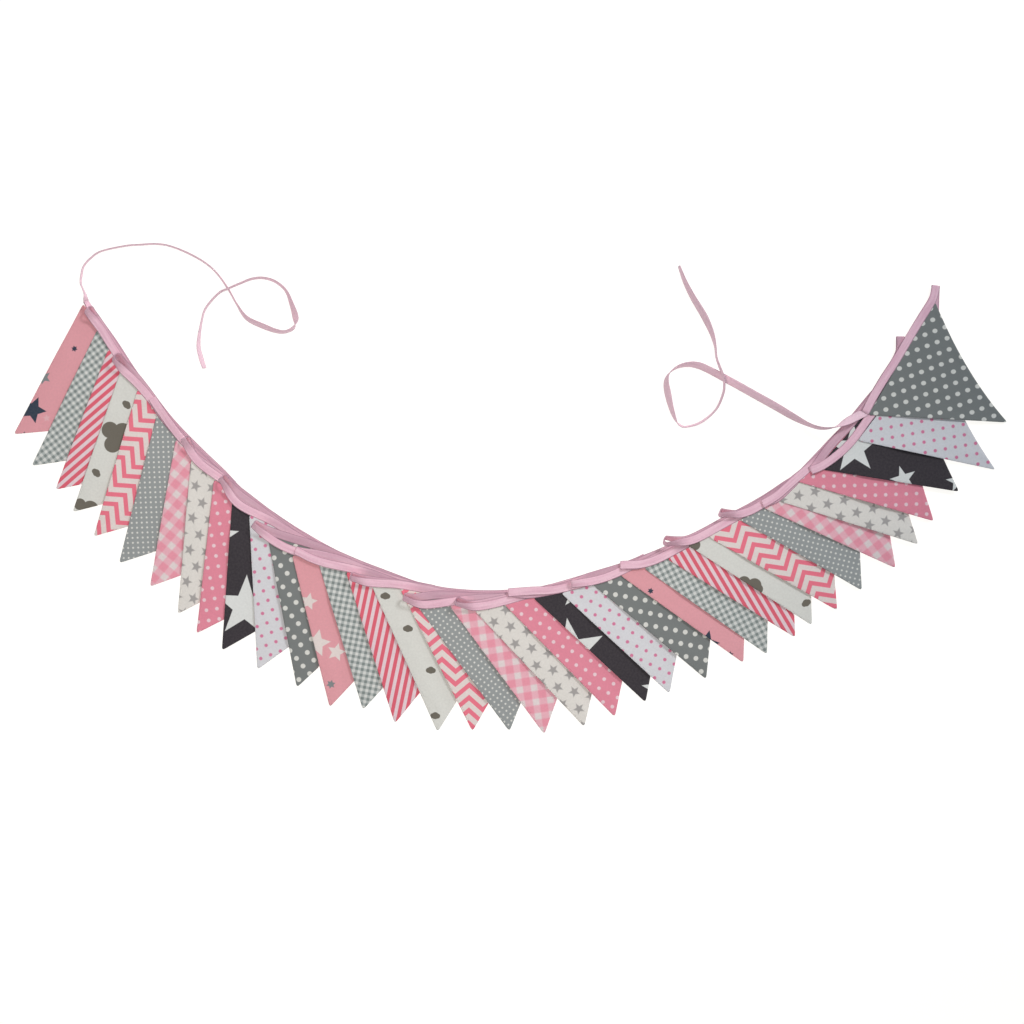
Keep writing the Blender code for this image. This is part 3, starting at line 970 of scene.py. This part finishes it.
def new_group(name, inputs, outputs):
    """An empty node group with named sockets, and its input and output nodes."""
    group = bpy.data.node_groups.new(name, "ShaderNodeTree")
    for labels, in_out in ((inputs, "INPUT"), (outputs, "OUTPUT")):
        for label in labels.split():
            kind = "NodeSocketVector" if label in VECTORS else "NodeSocketFloat"
            group.interface.new_socket(label, in_out=in_out, socket_type=kind)
    return group, group.nodes.new("NodeGroupInput").outputs, group.nodes.new("NodeGroupOutput").inputs


def use(tree, group, **values):
    """A node group placed in a material, with values or links for its named inputs."""
    node = tree.nodes.new("ShaderNodeGroup")
    node.node_tree = group
    for label, value in values.items():
        joined(tree, value, node.inputs[label])
    return node.outputs


def inside(tree, gap, soft):
    """1 where the gap to an edge is negative, 0 where it is positive, with a soft change at the edge."""
    return ramp(tree, gap, soft, times(tree, soft, -1.0))


def length_of(tree, x, y):
    """The length of a vector with these two parts."""
    return calc(tree, "SQRT", plus(tree, times(tree, x, x), times(tree, y, y)))


def vector_of(tree, x, y):
    """A vector with these two parts."""
    node = tree.nodes.new("ShaderNodeCombineXYZ")
    joined(tree, x, node.inputs[0])
    joined(tree, y, node.inputs[1])
    return node.outputs[0]


def star_group():
    """A star round a point of the cloth: 1 inside it."""
    group, given, result = new_group("Star", "Cloth Across Up Radius Turn Points Waist Soft", "Mask")
    across, up = halves(group, given["Cloth"])
    x = minus(group, across, given["Across"])
    y = minus(group, up, given["Up"])
    reach = length_of(group, x, y)
    angle = minus(group, calc(group, "ARCTAN2", y, x), given["Turn"])
    sector = ratio(group, 2 * math.pi, given["Points"])
    half = ratio(group, sector, 2.0)
    wrapped = calc(group, "FLOORED_MODULO", plus(group, angle, half), sector)
    folded = unsigned(group, minus(group, wrapped, half))
    point_x = times(group, reach, calc(group, "COSINE", folded))
    point_y = times(group, reach, calc(group, "SINE", folded))
    waist = times(group, given["Radius"], given["Waist"])
    waist_x = times(group, waist, calc(group, "COSINE", half))
    waist_y = times(group, waist, calc(group, "SINE", half))
    run_x = minus(group, waist_x, given["Radius"])
    beyond = minus(group, point_x, given["Radius"])
    cross = minus(group, times(group, waist_y, beyond), times(group, run_x, point_y))
    gap = ratio(group, cross, length_of(group, run_x, waist_y))
    joined(group, inside(group, gap, given["Soft"]), result["Mask"])
    return group


def grid_group():
    """Columns of repeats, each lower than the one before: the place seen from the nearest repeat."""
    group, given, result = new_group("Grid", "Cloth Column Pitch Drop", "Place")
    across, up = halves(group, given["Cloth"])
    column = calc(group, "ROUND", ratio(group, across, given["Column"]))
    x = minus(group, across, times(group, column, given["Column"]))
    lowered = times(group, column, given["Drop"])
    row_at = plus(group, ratio(group, up, given["Pitch"]), lowered)
    row_off = minus(group, row_at, calc(group, "ROUND", row_at))
    y = times(group, row_off, given["Pitch"])
    joined(group, vector_of(group, x, y), result["Place"])
    return group


def dot_group():
    """A round dot about the place's origin: 1 inside it."""
    group, given, result = new_group("Dot", "Place Radius Soft", "Mask")
    x, y = halves(group, given["Place"])
    gap = minus(group, length_of(group, x, y), given["Radius"])
    joined(group, inside(group, gap, given["Soft"]), result["Mask"])
    return group


def band_group():
    """Even bands, one of them round distance 0: 1 on a band."""
    group, given, result = new_group("Bands", "Distance Spacing Share Soft", "Mask")
    at = plus(group, ratio(group, given["Distance"], given["Spacing"]), 0.5)
    off = unsigned(group, minus(group, calc(group, "FLOORED_MODULO", at, 1.0), 0.5))
    over = minus(group, off, times(group, given["Share"], 0.5))
    gap = times(group, over, given["Spacing"])
    joined(group, inside(group, gap, given["Soft"]), result["Mask"])
    return group


def zigzag_group():
    """The height over a zigzag line that has a low point at the origin."""
    group, given, result = new_group("Zigzag", "Cloth Width Depth", "Distance")
    across, up = halves(group, given["Cloth"])
    cycle = calc(group, "FLOORED_MODULO", ratio(group, across, given["Width"]), 1.0)
    off = unsigned(group, minus(group, cycle, 0.5))
    line = times(group, minus(group, 1.0, times(group, off, 2.0)), given["Depth"])
    joined(group, minus(group, up, line), result["Distance"])
    return group


def noise_over(tree, place_on, scale, distortion=0.0):
    """Noise in three octaves over a place on the cloth."""
    node = tree.nodes.new("ShaderNodeTexNoise")
    node.inputs["Scale"].default_value = scale
    node.inputs["Detail"].default_value = 3.0
    node.inputs["Distortion"].default_value = distortion
    joined(tree, place_on, node.inputs["Vector"])
    return node.outputs[0]


def weave_group():
    """Plain-woven cotton: its threads, its slubs and its soft creases."""
    group, given, result = new_group("Weave", "Cloth Thread", "Threads Slubs Creases")
    across, up = halves(group, given["Cloth"])
    turn = ratio(group, math.pi, given["Thread"])
    warp = calc(group, "SINE", times(group, across, turn))
    weft = calc(group, "SINE", times(group, up, turn))
    joined(group, times(group, warp, weft), result["Threads"])
    joined(group, noise_over(group, given["Cloth"], SLUB_SCALE), result["Slubs"])
    joined(group, noise_over(group, given["Cloth"], CREASE_SCALE, CREASE_BEND), result["Creases"])
    return group


STAR = star_group()
GRID = grid_group()
DOT = dot_group()
BANDS = band_group()
ZIGZAG = zigzag_group()
WEAVE = weave_group()


def start_cloth(name, map_name):
    """A cloth material: its tree, its shader and the place on the cloth."""
    material = bpy.data.materials.new(name)
    material.use_nodes = True
    tree = material.node_tree
    shader = tree.nodes["Principled BSDF"]
    shader.inputs["Sheen Weight"].default_value = SHEEN
    shader.inputs["Specular IOR Level"].default_value = SPECULAR
    spot = tree.nodes.new("ShaderNodeUVMap")
    spot.uv_map = map_name
    return material, tree, shader, spot.outputs[0]


def bump(tree, relief, strength, depth):
    """A bump node for a relief of this strength and depth."""
    node = tree.nodes.new("ShaderNodeBump")
    node.inputs["Strength"].default_value = strength
    node.inputs["Distance"].default_value = depth
    joined(tree, relief, node.inputs["Height"])
    return node


def finish_cloth(tree, shader, spot, colour, thread, crease_depth=CREASE_DEPTH):
    """Weave, slubs and creases over a printed colour."""
    weave = use(tree, WEAVE, Cloth=spot, Thread=thread)
    worn = times(tree, ramp(tree, weave["Slubs"], *WORN_SLUBS), WORN_SHARE)
    joined(tree, blend(tree, worn, colour, WORN_TONE), shader.inputs["Base Color"])
    rough = minus(tree, ROUGHEST, times(tree, weave["Slubs"], SLUB_SMOOTHER))
    joined(tree, rough, shader.inputs["Roughness"])
    creases = bump(tree, weave["Creases"], CREASE_STRENGTH, crease_depth)
    threads = bump(tree, weave["Threads"], THREAD_STRENGTH, THREAD_DEPTH)
    joined(tree, creases.outputs[0], threads.inputs["Normal"])
    joined(tree, threads.outputs[0], shader.inputs["Normal"])


# The printed colours, the tape's own colours, and the painted shade and painted light on the tape
PINK = tone(226, 158, 166)
NAVY = tone(52, 62, 78)
STAR_GREY = tone(132, 136, 138)
PALE = tone(228, 214, 210)
FAINT = tone(228, 176, 182)
OFF_WHITE = tone(218, 216, 210)
TAUPE = tone(110, 104, 94)
CHARCOAL = tone(56, 51, 56)
STAR_WHITE = tone(222, 222, 220)
CORAL = tone(236, 118, 138)
ROSE = tone(222, 98, 116)
STRIPE_WHITE = tone(230, 206, 212)
MID_GREY = tone(152, 155, 155)
CHECK_WHITE = tone(214, 214, 210)
CHECK_GREY = tone(128, 136, 134)
CHECK_MID_GREY = tone(176, 180, 178)
CHECK_ROSE_WHITE = tone(226, 211, 211)
CHECK_PINK = tone(233, 151, 168)
CHECK_MID_PINK = tone(234, 176, 188)
SOFT_GREY = tone(164, 159, 157)
WARM_WHITE = tone(224, 218, 212)
HOT_PINK = tone(228, 138, 157)
HOT_DOT = tone(236, 206, 212)
LILAC = tone(216, 214, 218)
DOT_PINK = tone(214, 122, 156)
GREEN_GREY = tone(122, 125, 124)
TAPE_DEEP = tone(231, 182, 200)
TAPE_LIGHT = tone(241, 198, 213)
TAPE_STITCH = tone(244, 214, 224)
# Painted shade where other runs lie over the tape, painted light on the ties, and painted shade along the
# tape's edges
TAPE_COVER_SHADE = tone(160, 120, 138)
TAPE_TIE_PAINTED_LIGHT = tone(247, 218, 228)
TAPE_RIM_SHADE = tone(150, 104, 124)

# Single stars: the flag, their middle across and up from its tip, their radius in millimetres, the
# direction of one point in degrees, their colour and their number of points
SIX_POINT_WAIST = 0.56
Motif = namedtuple("Motif", "flag across up radius turn colour points", defaults=(5,))
PINK_STARS = [Motif(*row) for row in (
    (1, -11.3, 33.3, 15.5, 50, NAVY),
    (1, -35.0, 63.8, 8.4, 22, STAR_GREY),
    (1, -43.3, 110.3, 3.7, 40, NAVY, 6),
    (1, 7.0, 9.0, 4.2, 60, NAVY),
    (1, 5.0, 41.0, 4.4, 80, FAINT),
    (13, -52.2, 110.3, 10.2, 92, PALE),
    (13, -32.0, 67.0, 16.0, 92, PALE),
    (13, -8.0, 62.5, 10.6, 90, PALE),
    (13, -5.0, 25.8, 5.2, 90, STAR_GREY, 6),
    (25, -57.5, 120.0, 3.7, 50, NAVY, 6),
    (25, -28.0, 38.5, 15.7, 49, NAVY),
    (25, -9.2, 15.3, 4.2, 62, NAVY),
)]
CHARCOAL_STARS = [Motif(*row) for row in (
    (10, -4.2, 56.3, 36.0, 118.8, STAR_WHITE),
    (10, -74.8, 103.7, 28.9, 46.7, STAR_WHITE),
    (22, -38.6, 141.0, 15.0, 211, STAR_WHITE),
    (22, -60.3, 81.0, 38.3, 81, STAR_WHITE),
    (22, 15.0, 12.2, 15.0, 150, STAR_WHITE),
    (34, -33.1, 124.7, 29.2, 184.3, STAR_WHITE),
    (34, -27.0, 59.0, 15.7, 54, STAR_WHITE),
    (34, 8.5, 9.0, 13.0, 120, STAR_WHITE),
)]

# Clouds as round lobes: the flag, each lobe's middle and its radius in millimetres. A small cloud is one
# lobe with a smaller one on either side of it
Lobe = namedtuple("Lobe", "flag across up radius", defaults=(4.0,))
BIG_CLOUDS = [Lobe(*row) for row in (
    (4, -38.3, 94.2, 9.3),
    (4, -24.5, 85.3, 9.4),
    (4, -26.0, 102.0, 11.5),
    (4, -0.8, 12.0, 6.6),
    (4, 11.0, 16.5, 9.4),
    (28, -35.0, 71.5, 7.9),
    (28, -43.5, 80.0, 7.0),
    (28, -33.8, 66.0, 6.0),
    (28, -72.0, 144.5, 6.6),
)]
SMALL_CLOUDS = [Lobe(*row) for row in (
    (4, -46.2, 127.5),
    (4, -13.7, 50.0),
    (16, -41.0, 114.5),
    (16, -12.2, 69.2),
    (16, -3.8, 18.3),
    (16, -68.8, 149.5),
    (28, 6.7, 25.3),
)]
SIDE_LOBE = Lobe(0, 2.7, -0.3, 2.9)

# Repeated prints: the flag, the middle of one repeat across and up from its tip in millimetres, the
# turn of the print on the flag in degrees, and the slope to which its rows are pulled. A flag with no
# row here is cut from its own length of the cloth
Repeat = namedtuple("Repeat", "flag across up turn pull", defaults=(0.0, 0.0))
REPEATS = {row[0]: Repeat(*row) for row in (
    (3, -28.6, 80.0),
    (15, -19.8, 60.0, -1.4),
    (27, -22.5, 60.0),
    (5, -23.0, 59.2),
    (17, -20.3, 53.3),
    (29, -24.5, 72.0),
    (7, -26.7, 67.5),
    (19, -20.0, 54.0),
    (31, -24.2, 73.3),
    (8, -28.0, 68.3, 0.0, -0.12),
    (20, -17.0, 51.5),
    (32, -24.2, 75.0),
    (9, -22.8, 77.0),
    (21, -33.8, 77.0),
    (33, -25.8, 68.3),
    (11, -13.3, 68.7, 3.0),
    (23, -19.3, 78.3),
    (35, -19.5, 75.5, 3.0),
    (12, -19.5, 69.7),
    (24, -21.0, 70.8),
    (36, -11.3, 57.0, 0.0, -0.14),
)}
CUT_SPACING = 400.0
PINK_CHECK = 16.2


def cut_place(number):
    """Where on the printed cloth a flag is cut: its row of the table, or its own length of the cloth."""
    return REPEATS.get(number, Repeat(number, -CUT_SPACING * ((number - 1) // len(CLOTHS)), 0.0))


def on_print(number, spot):
    """The place in the cloth's print of a point that lies across and up from a flag's tip."""
    cut = cut_place(number)
    turn = math.radians(cut.turn)
    x = spot.x - cut.across * MM
    y = spot.y - cut.up * MM - cut.pull * x
    return (x * math.cos(turn) + y * math.sin(turn), y * math.cos(turn) - x * math.sin(turn))


def starred(tree, spot, ground, motifs, waist):
    """Single stars over a ground colour; waist is how near their notches come to the middle."""
    colour = ground
    for motif in motifs:
        x, y = on_print(motif.flag, Vector((motif.across, motif.up)) * MM)
        star = use(
            tree, STAR, Cloth=spot, Across=x, Up=y, Radius=motif.radius * MM, Turn=math.radians(motif.turn),
            Points=float(motif.points), Waist=waist if motif.points == 5 else SIX_POINT_WAIST, Soft=SHARP,
        )
        colour = blend(tree, star["Mask"], colour, motif.colour)
    return colour


def clouded(tree, spot, ground, cloud_colour):
    """Clouds of round lobes over a ground colour."""
    lobes = list(BIG_CLOUDS)
    for row in SMALL_CLOUDS:
        lobes += [
            row,
            Lobe(row.flag, row.across - SIDE_LOBE.across, row.up + SIDE_LOBE.up, SIDE_LOBE.radius),
            Lobe(row.flag, row.across + SIDE_LOBE.across, row.up + SIDE_LOBE.up, SIDE_LOBE.radius),
        ]
    mask = 0.0
    across, up = halves(tree, spot)
    for lobe in lobes:
        x, y = on_print(lobe.flag, Vector((lobe.across, lobe.up)) * MM)
        place_in = vector_of(tree, minus(tree, across, x), minus(tree, up, y))
        dot = use(tree, DOT, Place=place_in, Radius=lobe.radius * MM, Soft=SHARP)
        mask = calc(tree, "MAXIMUM", mask, dot["Mask"])
    return blend(tree, mask, ground, cloud_colour)


def dotted(tree, spot, ground, dots, column, pitch, drop, radius, soft):
    """Columns of dots over a ground colour, all sizes in millimetres."""
    near = use(tree, GRID, Cloth=spot, Column=column * MM, Pitch=pitch * MM, Drop=drop)
    mask = use(tree, DOT, Place=near["Place"], Radius=radius * MM, Soft=soft * MM)
    return blend(tree, mask["Mask"], ground, dots)


def checked(tree, spot, ground, single, crossed, spacing, share, soft):
    """Gingham: one tone where a band runs alone and another where two cross, sizes in millimetres."""
    across, up = halves(tree, spot)
    bands = {"Spacing": spacing * MM, "Share": share, "Soft": soft * MM}
    lengthwise = use(tree, BANDS, Distance=across, **bands)["Mask"]
    crosswise = use(tree, BANDS, Distance=up, **bands)["Mask"]
    one = blend(tree, calc(tree, "MAXIMUM", lengthwise, crosswise), ground, single)
    return blend(tree, times(tree, lengthwise, crosswise), one, crossed)


def pink_star(tree, spot):
    """Single stars on pink."""
    return starred(tree, spot, PINK, PINK_STARS, waist=0.48)


def grey_gingham(tree, spot):
    """A small grey check."""
    tones = (CHECK_WHITE, CHECK_MID_GREY, CHECK_GREY)
    return checked(tree, spot, *tones, spacing=6.4, share=0.5, soft=0.6)


def rose_stripe(tree, spot):
    """Rose and white stripes."""
    across, _ = halves(tree, spot)
    stripe = use(tree, BANDS, Distance=across, Spacing=7.95 * MM, Share=0.52, Soft=0.35 * MM)
    return blend(tree, stripe["Mask"], STRIPE_WHITE, ROSE)


def cloud(tree, spot):
    """Taupe clouds on white."""
    return clouded(tree, spot, OFF_WHITE, TAUPE)


def coral_chevron(tree, spot):
    """Coral zigzag stripes."""
    line = use(tree, ZIGZAG, Cloth=spot, Width=31.4 * MM, Depth=13.6 * MM)
    stripe = use(tree, BANDS, Distance=line["Distance"], Spacing=14.3 * MM, Share=0.46, Soft=0.4 * MM)
    return blend(tree, stripe["Mask"], PALE, CORAL)


def grey_pin_dot(tree, spot):
    """Small white dots, close together on grey."""
    sizes = dict(column=4.0, pitch=7.9, drop=0.5, radius=1.1, soft=0.35)
    return dotted(tree, spot, MID_GREY, OFF_WHITE, **sizes)


def pink_gingham(tree, spot):
    """A large pink check, with the middle of a white square at the cut's middle."""
    half_way = tree.nodes.new("ShaderNodeVectorMath")
    half_way.operation = "ADD"
    half_way.inputs[1].default_value = (PINK_CHECK / 2 * MM, PINK_CHECK / 2 * MM, 0.0)
    joined(tree, spot, half_way.inputs[0])
    tones = (CHECK_ROSE_WHITE, CHECK_MID_PINK, CHECK_PINK)
    return checked(tree, half_way.outputs[0], *tones, spacing=PINK_CHECK, share=0.55, soft=1.0)


def grey_star(tree, spot):
    """Rows of grey stars on white."""
    near = use(tree, GRID, Cloth=spot, Column=16.7 * MM, Pitch=20.0 * MM, Drop=0.5)
    star = use(
        tree, STAR, Cloth=near["Place"], Across=0.0, Up=0.0, Radius=6.6 * MM, Turn=math.radians(176),
        Points=5.0, Waist=0.45, Soft=0.7 * MM,
    )
    return blend(tree, star["Mask"], WARM_WHITE, SOFT_GREY)


def hot_pink_dot(tree, spot):
    """Pale dots on strong pink."""
    sizes = dict(column=8.6, pitch=16.2, drop=0.5, radius=2.05, soft=0.5)
    return dotted(tree, spot, HOT_PINK, HOT_DOT, **sizes)


def charcoal_star(tree, spot):
    """Large white stars on charcoal."""
    return starred(tree, spot, CHARCOAL, CHARCOAL_STARS, waist=0.40)


def lilac_dot(tree, spot):
    """Pink dots on pale lilac."""
    sizes = dict(column=8.6, pitch=16.0, drop=0.5, radius=1.95, soft=0.6)
    return dotted(tree, spot, LILAC, DOT_PINK, **sizes)


def grey_green_dot(tree, spot):
    """Large white dots on grey green."""
    sizes = dict(column=9.55, pitch=16.0, drop=0.385, radius=2.7, soft=0.4)
    return dotted(tree, spot, GREEN_GREY, OFF_WHITE, **sizes)


def tape_pink():
    """Bias tape: lengthwise streaks, a stitched line near each open edge, painted shade along its edges and
    where other runs lie over it, and painted light on the ties.
    """
    material, tree, shader, spot = start_cloth("tape_pink", "tape")
    along, round_tape = halves(tree, spot)
    upper = unsigned(tree, minus(tree, round_tape, STITCH_LINE))
    lower = unsigned(tree, minus(tree, round_tape, 2 * HALF_ROUND - STITCH_LINE))
    seam = ramp(tree, calc(tree, "MINIMUM", upper, lower), *STITCH_EDGE)
    step = calc(tree, "FLOORED_MODULO", ratio(tree, along, STITCH_LENGTH), 1.0)
    stitch = times(tree, seam, calc(tree, "LESS_THAN", step, STITCH_FILL))
    stretched = tree.nodes.new("ShaderNodeMapping")
    stretched.inputs["Scale"].default_value = (STREAK_STRETCH, 1.0, 1.0)
    joined(tree, spot, stretched.inputs["Vector"])
    streak = ramp(tree, noise_over(tree, stretched.outputs[0], STREAK_SCALE), *STREAKED)
    colour = blend(tree, streak, TAPE_DEEP, TAPE_LIGHT)
    colour = blend(tree, times(tree, stitch, STITCH_SHARE), colour, TAPE_STITCH)
    # Painted shade: a darker band along the fold and along each open edge of the tape
    folded = unsigned(tree, minus(tree, round_tape, HALF_ROUND))
    open_edge = minus(tree, HALF_ROUND, folded)
    rim_shade = ramp(tree, calc(tree, "MINIMUM", folded, open_edge), *RIM_SHADE_EDGE)
    # Painted shade: darker where other runs of the heap lie over the tape
    cover = tree.nodes.new("ShaderNodeUVMap")
    cover.uv_map = "cover"
    cover_shade, _ = halves(tree, cover.outputs[0])
    colour = blend(tree, times(tree, cover_shade, COVER_SHADE_SHARE), colour, TAPE_COVER_SHADE)
    # Painted light: the ties, which stand on edge, are lighter than the same tape in the binding
    on_tie = calc(tree, "GREATER_THAN", along, TIE_START - 1.0)
    colour = blend(tree, times(tree, on_tie, TIE_PAINTED_LIGHT_SHARE), colour, TAPE_TIE_PAINTED_LIGHT)
    # The painted shade along the edges is weaker on the ties
    depth = minus(tree, RIM_SHADE_SHARE, times(tree, on_tie, TIE_RIM_SHADE_LESS))
    colour = blend(tree, times(tree, rim_shade, depth), colour, TAPE_RIM_SHADE)
    finish_cloth(tree, shader, spot, colour, TAPE_THREAD, TAPE_CREASE_DEPTH)
    return material


CLOTHS = (
    pink_star,
    grey_gingham,
    rose_stripe,
    cloud,
    coral_chevron,
    grey_pin_dot,
    pink_gingham,
    grey_star,
    hot_pink_dot,
    charcoal_star,
    lilac_dot,
    grey_green_dot,
)
COARSE_CLOTHS = (cloud, coral_chevron, grey_star, charcoal_star)


def printed_cotton(printed):
    """The material of a printed cloth, named for it."""
    material, tree, shader, spot = start_cloth(printed.__name__, "cloth")
    thread = COARSE_THREAD if printed in COARSE_CLOTHS else FINE_THREAD
    finish_cloth(tree, shader, spot, printed(tree, spot), thread)
    return material


# The camera looks straight down on the middle of the photograph
CAMERA_HEIGHT = 2.6
VIEW_WIDTH = 1024 * PIXEL
camera_data = bpy.data.cameras.new("camera")
camera_data.lens = camera_data.sensor_width * CAMERA_HEIGHT / VIEW_WIDTH
camera = bpy.data.objects.new("camera", camera_data)
bpy.context.scene.collection.objects.link(camera)
middle = place(512, 512)
camera.location = (middle.x, middle.y, CAMERA_HEIGHT)
bpy.context.scene.camera = camera

# The tape and its ties
TAPE = tape_pink()
for node, rows, flag_number in (("tie_left", TIE_LEFT, 1), ("tie_right", TIE_RIGHT, len(FLAGS))):
    stations = tie_stations(rows, flag_number)
    tie, tie_length, tie_line = folded_tape(f"tape_{node}", stations, TAPE, TIE_START)
    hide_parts(node)
    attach(tie, "root")

binding, binding_length, _ = folded_tape("tape_binding", binding_stations(), TAPE)
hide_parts("binding")
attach(binding, "root")

# The flags
materials = [printed_cotton(printed) for printed in CLOTHS]
for number in range(1, len(FLAGS) + 1):
    kind = (number - 1) % len(CLOTHS)
    cloth, flat_area = flag(number, materials[kind])
    node = f"flag_{number:02d}"
    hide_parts(node)
    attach(cloth, "root")

# A floor that glows a little, so that it is white with no light lost on it, and a cool sky
FLOOR_SIZE = 40.0
FLOOR_DROP = 0.0003
bpy.ops.mesh.primitive_plane_add(size=FLOOR_SIZE, location=(0, 0, -FLOOR_DROP))
floor = bpy.context.active_object
floor.name = "floor"
paper = bpy.data.materials.new("floor_white")
paper.use_nodes = True
finish = paper.node_tree.nodes["Principled BSDF"].inputs
finish["Base Color"].default_value = (0.30, 0.30, 0.30, 1.0)
finish["Roughness"].default_value = 0.9
finish["Emission Color"].default_value = (1.0, 0.98, 0.94, 1.0)
finish["Emission Strength"].default_value = 0.87
floor.data.materials.append(paper)

world = bpy.data.worlds.new("studio")
world.use_nodes = True
sky = world.node_tree.nodes["Background"].inputs
sky["Color"].default_value = (0.70, 0.86, 1.0, 1.0)
sky["Strength"].default_value = 0.28
bpy.context.scene.world = world
bpy.context.scene.view_settings.view_transform = "Standard"

# The lamps: a key light from beyond the top right corner, and a warm spot from above
Lamp = namedtuple("Lamp", "name x y z watts colour")
KEY = Lamp("key", 2.0, 2.4, 2.6, 77.0, (0.95, 0.98, 1.0))
TOP = Lamp("top", -0.20, -0.05, 2.0, 81.0, (1.0, 0.91, 0.80))


def hang_lamp(lamp, kind, aim):
    """A lamp of this kind that points at a place on the floor, unseen by the camera."""
    light_data = bpy.data.lights.new(lamp.name, kind)
    light_data.energy = lamp.watts
    light_data.color = lamp.colour
    light = bpy.data.objects.new(lamp.name, light_data)
    bpy.context.scene.collection.objects.link(light)
    light.location = (lamp.x, lamp.y, lamp.z)
    light.rotation_euler = (aim - light.location).to_track_quat("-Z", "Y").to_euler()
    light.visible_camera = False
    return light_data


key = hang_lamp(KEY, "AREA", Vector((0.0, 0.0, 0.0)))
key.size = 0.8
top = hang_lamp(TOP, "SPOT", Vector((TOP.x, TOP.y, 0.0)))
top.shadow_soft_size = 0.25
top.spot_size = math.radians(45.6)
top.spot_blend = 0.74
